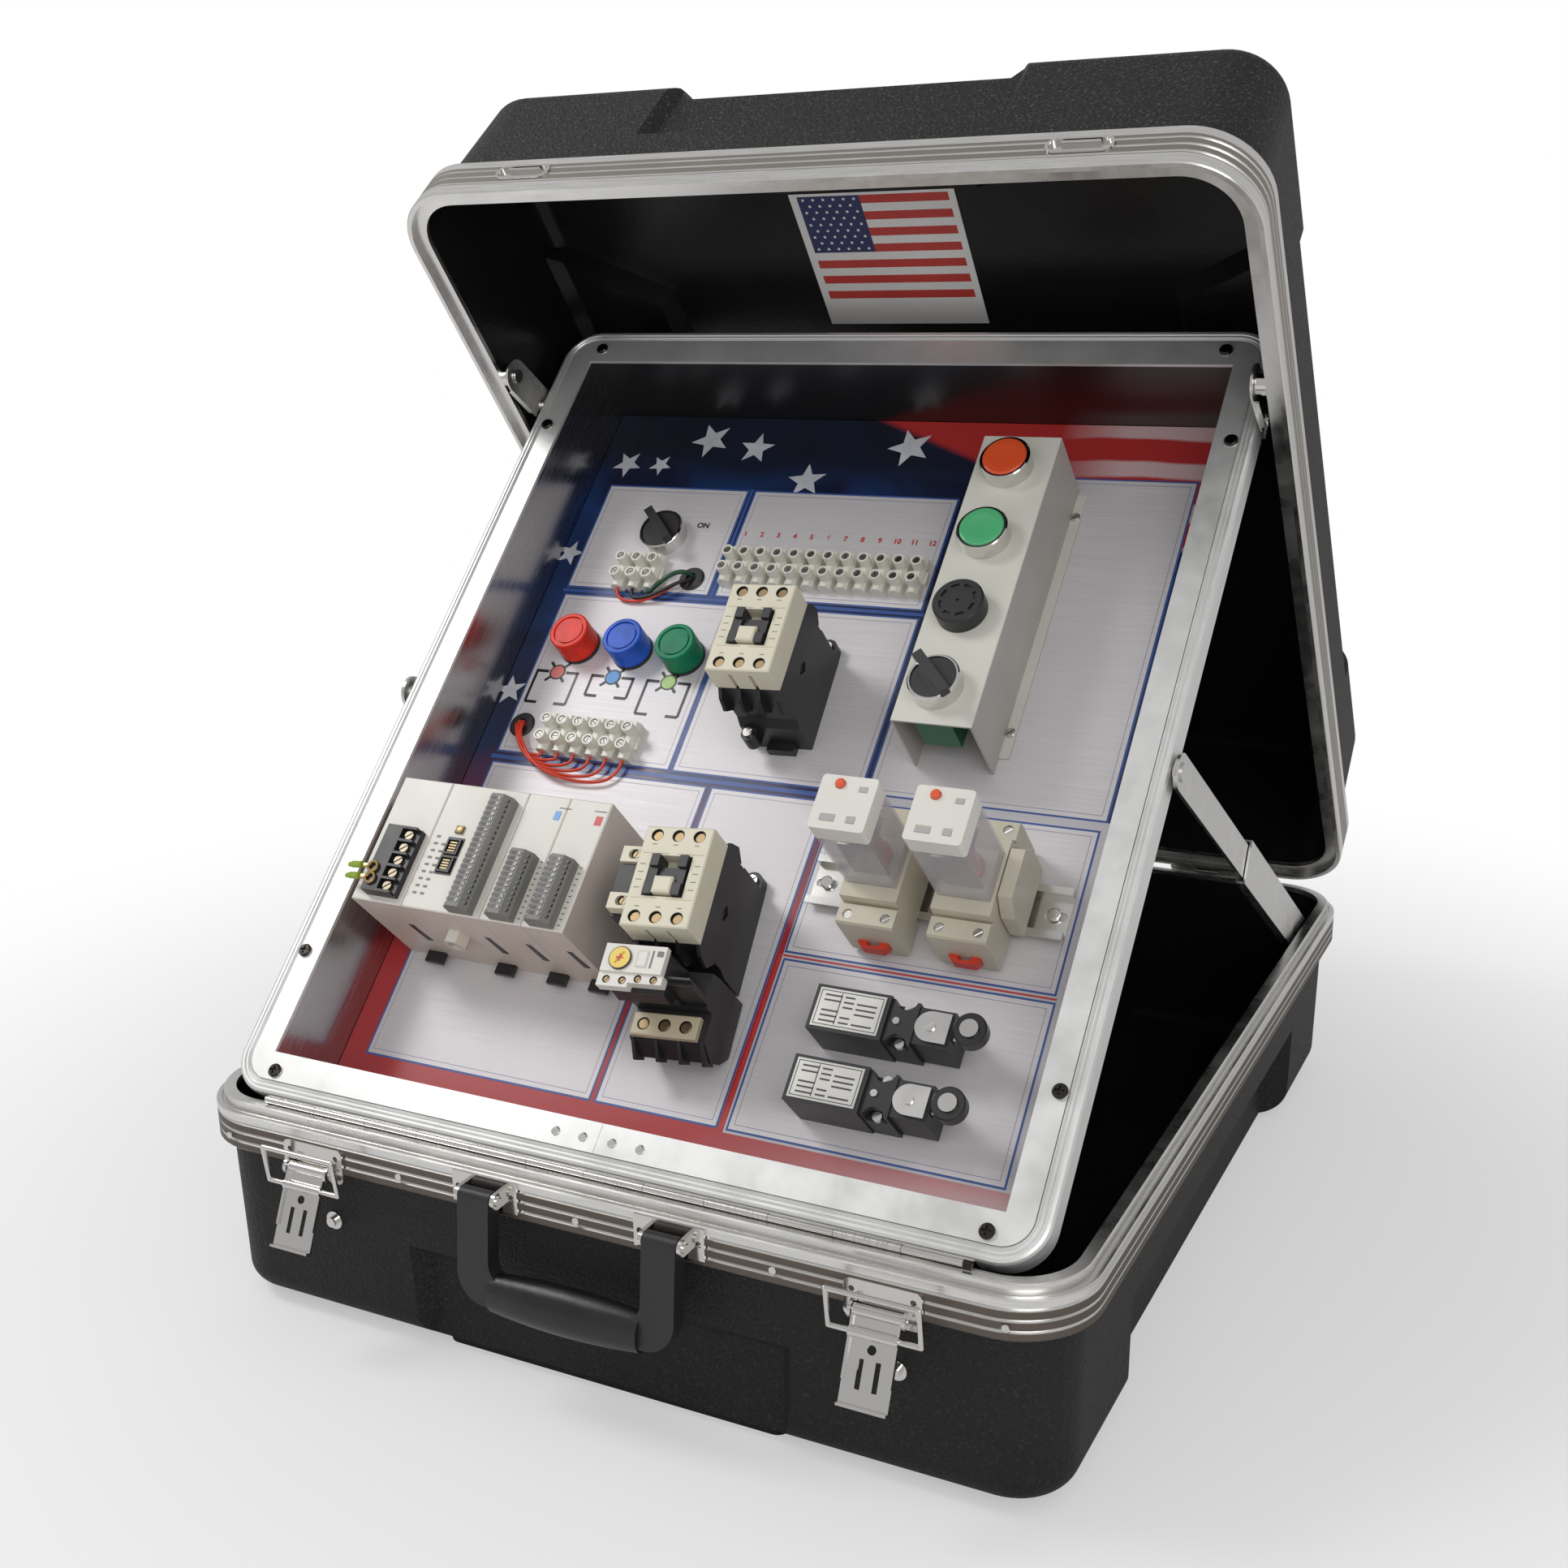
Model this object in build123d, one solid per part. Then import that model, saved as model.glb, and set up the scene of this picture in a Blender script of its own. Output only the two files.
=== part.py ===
from build123d import *
import math
import os

os.makedirs("parts", exist_ok=True)

# Carrying case. X runs across the front, Y to the back, Z up.
# The origin is the centre of the underside of the lower half.
case_width = 600.0
case_depth = 703.0
base_height = 146.0
lid_height = 130.0
corner_radius = 48.0
shell_wall = 4.0
shell_draft = 1.3
bottom_radius = 15.0
foot_step = 6.0
foot_half_width = 122.0
notch_depth = 14.0
notch_reach = 94.0
notch_narrowing = 54.0
end_relief = 10.0
side_relief = 20.0
end_relief_half = 134.0
side_relief_half = 215.0
relief_below_rim = 69.0
relief_slope = 10.0
lid_end_start = 60.0
lid_side_start = 98.0
lid_side_relief = 12.0

# Ribbed rims of the two halves
rim_stand = 8.0
base_rim_height = 31.0
lid_rim_height = 30.0
rim_cap = 4.0
rim_cap_width = 13.0
rib_pitch = 6.4
base_ribs = 4
lid_ribs = 4
tongue_height = 6.0
tongue_start = 5.2
tongue_groove = 1.2
lip_depth = 4.6
lip_width = 3.8
rim_gap = 0.3
rib_groove = 2.4
rib_depth = 1.3

# Rear hinges
hinge_stand = 6.0
hinge_places = (-184.0, 184.0)
hinge_width = 60.0
hinge_leaf = 1.6
hinge_leaf_reach = 34.0
hinge_knuckle_radius = 4.0
hinge_pin_radius = 1.8
hinge_fit = 0.05
knuckle_gap = 0.4
lid_open = 52.3

# Tray that tilts up on a long hinge along its front edge
tray_width = 552.0
tray_length = 645.0
tray_corner = 27.0
tray_side_band = 26.0
tray_end_band = 30.0
tray_setback = 3.4
tray_tilt = 45.1
tray_recess = 63.5
frame_thickness = 2.5
frame_edge_width = 9.0
frame_edge_height = 17.0
frame_bead = 0.9
frame_seam = 0.4
tub_wall = 1.6
panel_thickness = 2.0
long_hinge_inset = 11.5
long_hinge_rise = 2.4
long_hinge_length = 480.0
long_hinge_knuckles = 12
long_hinge_radius = 2.2
long_hinge_pin = 1.0
long_hinge_leaf = 0.8
tray_screw_places = (
    (-243.0, 627.0), (-262.0, 551.0), (-262.0, 102.0), (-243.0, 19.0),
    (243.0, 19.0), (262.0, 102.0), (262.0, 551.0), (243.0, 627.0),
)
tray_rivet_places = (-29.0, -10.0, 10.0, 29.0)
tray_rivet_row = 21.0
rim_rivet_places = (-263.0, -128.0, 0.0, 128.0, 263.0)
screw_head_radius = 4.5
screw_head_height = 2.4

# Telescoping stays that hold the tray up, one on each side
stay_tray_reach = 311.0
stay_tray_drop = 9.0
stay_base_y = 290.0
stay_base_z = 115.0
channel_length = 266.0
channel_width = 31.0
channel_sheet = 1.5
arm_length = 256.0
arm_width = 23.0
arm_depth = 2.4
stay_gap = 0.6
stay_rivet_radius = 5.0

# Links that tie the open lid to the raised tray
hook_reach = 537.0
hook_depth = 8.0
hook_width = 25.0
hook_sheet = 1.5
hook_flange = 3.0
hook_flange_stop = 10.5
hook_slab = 278.0
hook_stud_radius = 3.0
hook_stud_reach = 575.0
hook_stud_drop = 6.6
hook_notch_flare = 2.8

# Draw latches and handle on the front
latch_places = (-194.0, 194.0)
latch_plate_width = 46.0
latch_plate_height = 15.0
latch_plate_sheet = 1.6
latch_pivot_z = 117.0
latch_pivot_stand = 6.0
lever_width = 29.0
lever_length = 50.0
lever_sheet = 1.6
bail_width = 54.0
bail_reach = 24.0
bail_radius = 1.6
bail_drop = 11.0
bail_lean = 8.0
lever_out = 25.0
keeper_width = 42.0
keeper_height = 14.0
keeper_sunk = 2.6
catch_z = 76.0
catch_offset = 4.0
handle_half_width = 63.0
handle_arm_width = 22.0
handle_reach = 65.0
handle_thickness = 11.0
handle_pivot_z = 129.0
handle_pivot_stand = 8.0
handle_pin_radius = 3.0
handle_grip_radius = 11.0
handle_bar = 16.0
handle_out = 6.0

# Places on the panel: across, up the tray from its long hinge, and height above the panel
control_radius = 15.2
control_gap = 0.25
bezel_radius = 17.4
bezel_height = 12.0
button_travel = 4.0
button_well = 5.0
handle_bar_half = 20.5
handle_bar_width = 7.0
handle_bar_height = 11.0
power_switch = (-164.5, 497.5)
power_switch_turn = 135.0
control_turn = 135.0
lamp_places = ((-198.3, 394.6), (-152.4, 393.6), (-108.3, 392.6))
lamp_radius = 15.3
lamp_height = 22.0
terminal_pitch = 13.6
terminal_depth = 30.0
terminal_height = 15.0
terminal_tower = 4.3
strip_start = (-105.5, 471.5)
strip_ways = 12
mains_start = (-192.5, 461.0)
mains_ways = 3
lamp_block_start = (-197.5, 316.5)
lamp_block_ways = 6
mains_grommet = (-128.5, 461.0)
lamp_grommet = (-219.5, 323.5)
grommet_radius = 10.0
grommet_height = 2.2
grommet_hole = 4.5
wire_radius = 1.0
wire_bend = 5.0
wire_levels = (3.6, 6.2)

contactor_place = (-9.2, 364.8)
contactor_turn = 2.5
starter_place = (-1.7, 181.3)
starter_turn = 4.8
contactor_width = 46.5
contactor_length = 68.0
contactor_base_height = 40.0
contactor_cover_start = 70.0
contactor_height = 92.0
contactor_screw_pitch = 14.5
contactor_screw_row = 27.8
contactor_window = 28.0
contactor_window_depth = 10.0
well_radius = 4.2
well_depth = 5.0
slider_travel = 3.0
aux_centre = 33.4
aux_width = 13.5
aux_height = 84.0
overload_height = 84.0
overload_low = 44.0

box_left = 91.0
box_width = 55.5
box_front = 325.0
box_length = 230.0
box_height = 58.0
box_sheet = 1.5
box_flange = 7.0
control_column = 116.0
control_rows = (528.2, 469.6, 411.0, 352.4)

plc_left = -230.0
plc_widths = (40.5, 61.5, 32.0, 31.5)
plc_front = 137.5
plc_tall = 92.5
plc_depth = 82.0
plc_seam = 0.3
rail_height = 7.5
rail_width = 35.0
rail_web = 25.0
rail_sheet = 1.2
plc_rail = (-232.0, -62.0)
relay_rail = (49.0, 221.0)

relay_places = (109.0, 169.2)
relay_row = 232.0
relay_side = 36.0
relay_cap = 14.0
relay_top = 118.0
relay_seat = 46.0
relay_button_offset = (-5.4, 12.3)
relay_button_radius = 3.0
relay_button_travel = 2.0
socket_width = 38.0
socket_front = -41.5

limit_rows = (136.9, 91.0)
limit_left = 90.5
limit_body = 48.5
limit_width = 29.0
limit_height = 34.0
limit_neck_end = 157.0
limit_head_end = 180.0
limit_head_height = 31.0
roller_place = 193.3
roller_radius = 10.3
roller_height = 9.0
roller_bottom = 31.3
roller_pin = 4.0
plunger_travel = 4.0
plunger_width = 9.0

# Everything below is worked out from the sizes above
rim_plane = base_height
hinge_y = case_depth / 2 + hinge_stand
front_face = -case_depth / 2
long_hinge_y = front_face + long_hinge_inset
long_hinge_z = rim_plane + long_hinge_rise
tray_half = tray_width / 2
tray_top = tray_recess
opening_half = tray_half - tray_side_band
opening_front = tray_setback + tray_end_band - 2
opening_back = tray_length - tray_end_band
inner_wall_x = case_width / 2 - rim_stand - shell_wall
side_slab = tray_half + 0.6


def box(x0, x1, y0, y1, z0, z1):
    """A block between two corners."""
    return Pos((x0 + x1) / 2, (y0 + y1) / 2, (z0 + z1) / 2) * Box(x1 - x0, y1 - y0, z1 - z0)


def rod_x(x0, x1, y, z, radius):
    """A round bar along X."""
    return Pos((x0 + x1) / 2, y, z) * Rot(0, 90, 0) * Cylinder(radius, x1 - x0)


def rod_y(x, y0, y1, z, radius):
    """A round bar along Y."""
    return Pos(x, (y0 + y1) / 2, z) * Rot(90, 0, 0) * Cylinder(radius, y1 - y0)


def rod_z(x, y, z0, z1, radius):
    """A round bar along Z."""
    return Pos(x, y, (z0 + z1) / 2) * Cylinder(radius, z1 - z0)


def prism(points, z0, z1, taper=0.0):
    """An outline in plan carried up from z0 to z1."""
    return extrude(Pos(0, 0, z0) * Polygon(*points, align=None), amount=z1 - z0, dir=(0, 0, 1), taper=taper)


def profile_x(points, x0, x1):
    """An outline in Y and Z carried along X."""
    face = Plane.YZ * Polygon(*points, align=None)
    return Pos((x0 + x1) / 2, 0, 0) * extrude(face, amount=(x1 - x0) / 2, both=True)


def profile_y(points, y0, y1):
    """An outline in X and Z carried along Y."""
    face = Plane.XZ * Polygon(*points, align=None)
    return Pos(0, (y0 + y1) / 2, 0) * extrude(face, amount=(y1 - y0) / 2, both=True)


def on_tray(shape):
    """Moves a shape from the panel's own frame to its tilted place."""
    place = Pos(0, long_hinge_y, long_hinge_z) * Rot(tray_tilt, 0, 0) * Pos(0, 0, -tray_recess)
    return place * shape


def on_lid(shape):
    """Moves a shape from the closed lid's place to its open place."""
    turn = Pos(0, hinge_y, rim_plane) * Rot(-lid_open, 0, 0) * Pos(0, -hinge_y, -rim_plane)
    return turn * shape


def tray_point(along, height):
    """Where a point on the tray's side stands, as Y and Z."""
    angle = math.radians(tray_tilt)
    drop = height - tray_recess
    y = long_hinge_y + along * math.cos(angle) - drop * math.sin(angle)
    z = long_hinge_z + along * math.sin(angle) + drop * math.cos(angle)
    return y, z


def lid_point(along, height):
    """Where a point on the open lid's side stands, as Y and Z."""
    angle = math.radians(lid_open)
    y = hinge_y - along * math.cos(angle) + height * math.sin(angle)
    z = rim_plane + along * math.sin(angle) + height * math.cos(angle)
    return y, z


def mirrored(shape):
    """The same shape on the other side of the case."""
    return mirror(shape, about=Plane.YZ)


def save(name, *shapes):
    """Writes one node."""
    pieces = []
    for shape in shapes:
        pieces.extend(shape.solids())
    node = pieces[0] if len(pieces) == 1 else Compound(pieces)
    export_step(node, "parts/" + name + ".step")


def save_on_tray(name, *shapes):
    save(name, *[on_tray(shape) for shape in shapes])


def relief(half, depth, extra, floor_z, top_z):
    """The channel in one wall of a shell, cut towards -Y from y = 0, with 45 degree sides and a sloping end."""
    reach = depth + extra
    outer = half + extra + 40
    block = prism([(-outer, 40), (outer, 40), (half - depth, -reach), (depth - half, -reach)], floor_z, top_z)
    run = relief_slope
    wedge = [(-reach - 1, top_z + 1), (-reach - 1, top_z - run), (-reach, top_z - run), (0, top_z), (41, top_z + 1)]
    return block - profile_x(wedge, -outer - 1, outer + 1)


def notch(half, grown, drop):
    """The shallow recess in the lid's top between two corner blocks, cut from z = 0 upwards."""
    end = half - notch_narrowing + grown
    outline = [(-half - grown - 11, 20), (half + grown + 11, 20), (end, -notch_reach - grown), (-end, -notch_reach - grown)]
    return prism(outline, -1, drop + grown, taper=30)


def case_form(depth, inset, bottom, end_start, side_start, side_depth):
    """A moulded half as a solid with its mouth up at z = depth and the outside of its floor at z = bottom."""
    width = case_width - 2 * (rim_stand + inset)
    length = case_depth - 2 * (rim_stand + inset)
    radius = corner_radius - rim_stand - inset
    outline = Pos(0, 0, depth) * RectangleRounded(width, length, radius)
    form = extrude(outline, amount=depth - bottom, dir=(0, 0, -1), taper=shell_draft)
    edge = form.edges().group_by(Axis.Z)[0]
    form = fillet(edge, bottom_radius - inset)
    floor = bottom - 30
    end = Pos(0, length / 2 + inset, 0) * relief(end_relief_half, end_relief, inset, floor, depth - end_start)
    side = Pos(0, width / 2 + inset, 0) * relief(side_relief_half, side_depth, inset, floor, depth - side_start)
    for angle, cut in ((0, end), (180, end), (90, side), (-90, side)):
        form -= Rot(0, 0, angle) * cut
    return form


def base_shell():
    """Lower half: four corner blocks, and a foot between them that stands on the floor."""
    rim_top = rim_plane - rim_cap
    floor = foot_step + shell_wall
    outer = case_form(rim_top, 0, foot_step, relief_below_rim, relief_below_rim, side_relief)
    inner = case_form(rim_top, shell_wall, floor, relief_below_rim, relief_below_rim, side_relief)
    length = case_depth - 2 * rim_stand - 2 * end_relief - 8
    foot_outline = Pos(0, 0, floor) * RectangleRounded(2 * foot_half_width, length, 10)
    foot = extrude(foot_outline, amount=floor, dir=(0, 0, -1), taper=12)
    hollow_outline = Pos(0, 0, floor) * RectangleRounded(
        2 * (foot_half_width - shell_wall), length - 2 * shell_wall, 6
    )
    hollow = extrude(hollow_outline, amount=foot_step, dir=(0, 0, -1), taper=12)
    return outer + foot - inner - hollow


def lid_shell():
    """Upper half, made mouth up and then turned over onto the closed case."""
    rim_top = lid_height - rim_cap
    shell = case_form(rim_top, 0, 0, lid_end_start, lid_side_start, lid_side_relief)
    hollow = case_form(rim_top, shell_wall, shell_wall, lid_end_start, lid_side_start, lid_side_relief)
    end_y = case_depth / 2 - rim_stand
    side_x = case_width / 2 - rim_stand
    for angle, face, half in ((0, end_y, end_relief_half), (180, end_y, end_relief_half),
                              (90, side_x, side_relief_half), (-90, side_x, side_relief_half)):
        shell -= Rot(0, 0, angle) * Pos(0, face, 0) * notch(half, 0, notch_depth)
        hollow -= Rot(0, 0, angle) * Pos(0, face, 0) * notch(half, shell_wall, notch_depth)
    return Pos(0, 0, rim_plane + lid_height) * Rot(180, 0, 0) * (shell - hollow)


def ring(profile, half_width, half_depth, radius):
    """A profile carried round a rounded rectangle. Its outer face is at x = 0."""
    straight_y = half_depth - radius
    straight_x = half_width - radius
    side = extrude(Plane.XZ * Pos(half_width, 0) * profile, amount=straight_y, both=True)
    end = extrude(Plane.XZ * Pos(half_depth, 0) * profile, amount=straight_x, both=True)
    corner = revolve(Plane.XZ * Pos(radius, 0) * profile, Axis.Z, revolution_arc=90)
    whole = side + Rot(0, 0, 180) * side
    whole += Rot(0, 0, 90) * end
    whole += Rot(0, 0, -90) * end
    for turn, x, y in ((0, 1, 1), (90, -1, 1), (180, -1, -1), (270, 1, -1)):
        whole += Pos(x * straight_x, y * straight_y, 0) * Rot(0, 0, turn) * corner
    return whole


def ribs_down(start, count):
    """The ribbed outer face of a rim: grooves between ribs of one pitch, going down from z = start."""
    points = []
    for index in range(1, count):
        centre = start - rib_pitch * index
        points.append((0, centre + rib_groove / 2))
        points.append((-rib_depth, centre))
        points.append((0, centre - rib_groove / 2))
    return points


def rim_section(top, start, count, height):
    """Section of a rim drawn down from z = 0: its top, the ribs outside, and a cap over the shell's edge."""
    points = top + ribs_down(start, count)
    points.append((0, -height + 1))
    points.append((-1, -height))
    points.append((-rim_stand, -height))
    points.append((-rim_stand, -rim_cap))
    points.append((-rim_cap_width, -rim_cap))
    return Polygon(*points, align=None)


def base_valance():
    """Lower rim. Its tongue stands above the shoulder, with a groove between two ridges."""
    low = -tongue_height
    inner = -tongue_start
    top = [(-rim_cap_width, 0), (inner - 0.8, 0), (inner, -0.8), (inner, low - tongue_groove)]
    top += [(inner + 1, low - tongue_groove), (inner + 1.8, low), (-0.8, low), (0, low - 0.8)]
    section = rim_section(top, low, base_ribs, base_rim_height)
    return Pos(0, 0, rim_plane) * ring(section, case_width / 2, case_depth / 2, corner_radius)


def keeper_plan(grown, y0, y1, x):
    """The long round-ended outline of a latch keeper, carried along Y."""
    outline = SlotOverall(keeper_width + 2 * grown, keeper_height + 2 * grown)
    slot = extrude(Plane.XZ * outline, amount=(y1 - y0) / 2, both=True)
    return Pos(x, (y0 + y1) / 2, rim_plane + lid_rim_height / 2) * slot


def lid_valance():
    """Upper rim, drawn upside down. Its lip closes round the tongue of the lower rim."""
    inner = -lip_width
    top = [(-rim_cap_width, -rim_gap), (inner, -rim_gap), (inner, lip_depth), (-0.8, lip_depth), (0, lip_depth - 0.8)]
    section = rim_section(top, 0, lid_ribs, lid_rim_height)
    rim = ring(section, case_width / 2, case_depth / 2, corner_radius)
    rim = Pos(0, 0, rim_plane) * mirror(rim, about=Plane.XY)
    for x in latch_places:
        rim -= keeper_plan(0.2, front_face - 1, front_face + keeper_sunk, x)
    return rim


def lid_keepers():
    """Chromed keepers sunk into the lid's rim: a raised oval edge round a hooked tongue."""
    pieces = []
    for x in latch_places:
        keeper = keeper_plan(0, front_face - 1.2, front_face + keeper_sunk, x)
        keeper -= keeper_plan(-2, front_face - 2, front_face + keeper_sunk - 1.2, x)
        z = rim_plane + lid_rim_height / 2
        keeper += box(x - 12, x + 12, front_face - 1.0, front_face + keeper_sunk - 1, z + 1.5, z + 4)
        pieces.append(keeper)
    return pieces


def hinge_knuckle(x0, x1):
    tube = rod_x(x0, x1, hinge_y, rim_plane, hinge_knuckle_radius)
    return tube - rod_x(x0 - 1, x1 + 1, hinge_y, rim_plane, hinge_pin_radius + hinge_fit)


def rear_hinges():
    """Rear hinges of three knuckles. The outer two and the pin stay with the base."""
    base_side = []
    pins = []
    lid_side = []
    back = case_depth / 2
    third = hinge_width / 3
    for x in hinge_places:
        left = x - hinge_width / 2
        right = left + hinge_width
        top = rim_plane - 1.0
        leaf = box(left, right, back, back + hinge_leaf, top - hinge_leaf_reach, top)
        for x0, x1 in ((left, left + third), (right - third, right)):
            leaf += box(x0, x1, back, back + hinge_stand - 2.5, top - 5, top)
            leaf += hinge_knuckle(x0, x1)
            leaf -= rod_x(x0 - 1, x1 + 1, hinge_y, rim_plane, hinge_pin_radius + hinge_fit)
        for side in (-1, 1):
            for drop in (12, 26):
                leaf -= rod_y(x + side * 20, back - 1, back + 4, top - drop, 1.8)
        base_side.append(leaf)
        pin = rod_x(left - 0.4, right + 0.4, hinge_y, rim_plane, hinge_pin_radius)
        for end in (left - 1.6, right + 0.4):
            pin += rod_x(end, end + 1.2, hinge_y, rim_plane, hinge_pin_radius + 1)
        pins.append(pin)
        low = rim_plane + 1.0
        upper = box(left, right, back, back + hinge_leaf, low, low + lid_rim_height - 4)
        x0 = left + third + knuckle_gap
        x1 = right - third - knuckle_gap
        upper += box(x0, x1, back, back + hinge_stand - 2.5, low, low + 5)
        upper += hinge_knuckle(x0, x1)
        upper -= rod_x(x0 - 1, x1 + 1, hinge_y, rim_plane, hinge_pin_radius + hinge_fit)
        for side in (-1, 1):
            for rise in (10, 20):
                upper -= rod_y(x + side * 20, back - 1, back + 4, low + rise, 1.8)
        lid_side.append(upper)
    return base_side, pins, lid_side


def tray_edge():
    """Extruded edge of the tray: beads on top and a skirt outside."""
    web = frame_thickness
    wide = frame_edge_width
    skirt = 3.0
    points = [(0, -frame_edge_height), (0, -3), (-0.8, -0.8), (-2.4, 0), (-3.8, 0), (-4.6, -frame_bead)]
    points += [(-5.4, 0), (-wide + 2.6, 0), (-wide + 1.8, -frame_bead), (-wide + 1, 0), (-wide, -0.6)]
    points += [(-wide, -web), (-skirt, -web), (-skirt, -frame_edge_height)]
    profile = Polygon(*points, align=None)
    length = tray_length - tray_setback
    edge = ring(profile, tray_half, length / 2, tray_corner)
    return Pos(0, tray_setback + length / 2, tray_top) * edge


def tray_flange():
    """Flat plate between the extruded edge and the opening, in two halves that meet at the front."""
    wide = frame_edge_width + frame_seam
    front = tray_setback + wide
    back = tray_length - wide
    outer = RectangleRounded(2 * (tray_half - wide), back - front, tray_corner - wide)
    plate = Pos(0, (front + back) / 2, tray_top - frame_thickness) * outer
    plate = extrude(plate, amount=frame_thickness, dir=(0, 0, 1))
    plate -= box(-opening_half, opening_half, opening_front, opening_back, tray_top - 5, tray_top + 5)
    joint = box(-0.15, 0.15, front - 1, opening_front + 1, tray_top - 0.5, tray_top + 1)
    return plate - joint


def tray_tub():
    """Sheet tub under the flange: lip, walls and floor."""
    lip_top = tray_top - frame_thickness
    wall = tub_wall
    reach = tray_half - 3.2
    lip = Pos(0, (tray_setback + tray_length) / 2, lip_top - wall) * RectangleRounded(
        2 * reach, tray_length - tray_setback - 6.4, tray_corner - 3.2
    )
    tub = extrude(lip, amount=wall, dir=(0, 0, 1))
    floor = -panel_thickness - wall
    tub += box(-opening_half - wall, opening_half + wall, opening_front - wall, opening_back + wall, floor, lip_top)
    tub -= box(-opening_half, opening_half, opening_front, opening_back, -panel_thickness, tray_top)
    return tub


def panel_plate():
    gap = 0.4
    low_x = -opening_half + gap
    return box(low_x, -low_x, opening_front + gap, opening_back - gap, -panel_thickness, 0)


def cross_screw(x, y, z, radius=screw_head_radius, height=screw_head_height):
    """Round headed screw with a cross recess."""
    head = rod_z(x, y, z, z + height, radius)
    head = chamfer(head.edges().group_by(Axis.Z)[-1], height * 0.35)
    slot = Pos(x, y, z + height) * Box(radius * 1.2, radius * 0.3, height)
    return head - slot - Pos(x, y, 0) * Rot(0, 0, 90) * Pos(-x, -y, 0) * slot


def slot_screw(x, y, z, radius, height):
    head = rod_z(x, y, z, z + height, radius)
    return head - Pos(x, y, z + height) * Rot(0, 0, 40) * Box(3 * radius, radius * 0.3, height * 0.8)


def tray_screws():
    places = []
    for x, y in tray_screw_places:
        places.append(cross_screw(x, y, tray_top))
    return places


def tray_rivets():
    pieces = []
    for x in tray_rivet_places:
        rivet = rod_z(x, tray_rivet_row, tray_top, tray_top + 1.2, 2.8)
        pieces.append(chamfer(rivet.edges().group_by(Axis.Z)[-1], 0.7))
    return pieces


def rim_rivets():
    """Rivet heads on the flats between the ribs of the lower rim."""
    z = rim_plane - tongue_height - 2.5 * rib_pitch
    front_rivets = []
    for x in rim_rivet_places:
        front_rivets.append(rod_y(x, front_face - 1.0, front_face, z, 2.2))
    return front_rivets


def long_hinge():
    """Piano hinge over the lower rim. Every other knuckle belongs to the base."""
    step = long_hinge_length / long_hinge_knuckles
    half = long_hinge_length / 2
    base_leaf_y = front_face + rim_cap_width
    leaf = long_hinge_leaf
    bore = long_hinge_pin + hinge_fit
    base = box(-half, half, base_leaf_y, base_leaf_y + leaf, rim_plane - 20, rim_plane)
    tray = box(-half, half, tray_setback - leaf, tray_setback, tray_top - frame_edge_height, tray_top - 0.6)
    for index in range(long_hinge_knuckles):
        x0 = -half + index * step + 0.15
        x1 = x0 + step - 0.3
        if index % 2 == 0:
            knuckle = rod_x(x0, x1, long_hinge_y, long_hinge_z, long_hinge_radius)
            knuckle += box(x0, x1, base_leaf_y, base_leaf_y + leaf, rim_plane - 1, long_hinge_z)
            base += knuckle
        else:
            knuckle = rod_x(x0, x1, 0, tray_top, long_hinge_radius)
            knuckle += box(x0, x1, 1.2, tray_setback, tray_top - 1.8, tray_top - 0.6)
            tray += knuckle
    base -= rod_x(-half - 1, half + 1, long_hinge_y, long_hinge_z, bore)
    tray -= rod_x(-half - 1, half + 1, 0, tray_top, bore)
    pin = rod_x(-half, half, long_hinge_y, long_hinge_z, long_hinge_pin)
    return base, tray, pin


stay_tray_y, stay_tray_z = tray_point(stay_tray_reach, tray_recess - stay_tray_drop)
stay_angle = math.degrees(math.atan2(stay_tray_z - stay_base_z, stay_base_y - stay_tray_y))
arm_outer_x = side_slab + stay_gap + arm_depth + 1.8
channel_web_x = arm_outer_x + stay_gap


def along_stay(shape):
    """Moves a shape drawn forwards along -Y from the base pivot onto the stay's line."""
    return Pos(0, stay_base_y, stay_base_z) * Rot(-stay_angle, 0, 0) * shape


def stay_channel():
    """Folded channel with lips that wrap the arm."""
    web = channel_web_x
    half = channel_width / 2
    sheet = channel_sheet
    inner = arm_outer_x - arm_depth - stay_gap
    start = 13.0
    end = channel_length
    round_end = rod_x(web, web + sheet, 0, 0, half)
    plate = box(web, web + sheet, -end, 0, -half, half) + round_end
    for side in (-1, 1):
        z0 = side * half
        z1 = side * (half - sheet)
        z2 = side * (half - 5)
        plate += box(inner - sheet, web + sheet, -end, -start, min(z0, z1), max(z0, z1))
        plate += box(inner - sheet, inner, -end, -start, min(z0, z2), max(z0, z2))
    plate -= rod_x(web - 1, web + sheet + 1, 0, 0, 4 + hinge_fit)
    return along_stay(plate)


def stay_arm():
    """Flat arm with two pressed grooves and its pivot rivet at the tray."""
    half = arm_width / 2
    reach = math.hypot(stay_tray_y - stay_base_y, stay_tray_z - stay_base_z)
    x0 = arm_outer_x - arm_depth
    arm = box(x0, arm_outer_x, -reach, -reach + arm_length, -half, half)
    arm += rod_x(x0, arm_outer_x, -reach, 0, half)
    for side in (-1, 1):
        groove = box(x0 - 1, x0 + 0.8, -reach + 24, -reach + arm_length - 14, side * 5 - 1.6, side * 5 + 1.6)
        arm -= groove
    arm += rod_x(side_slab, x0, -reach, 0, stay_rivet_radius)
    arm += rod_x(arm_outer_x, arm_outer_x + 1.2, -reach, 0, stay_rivet_radius + 1)
    return along_stay(arm)


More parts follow.
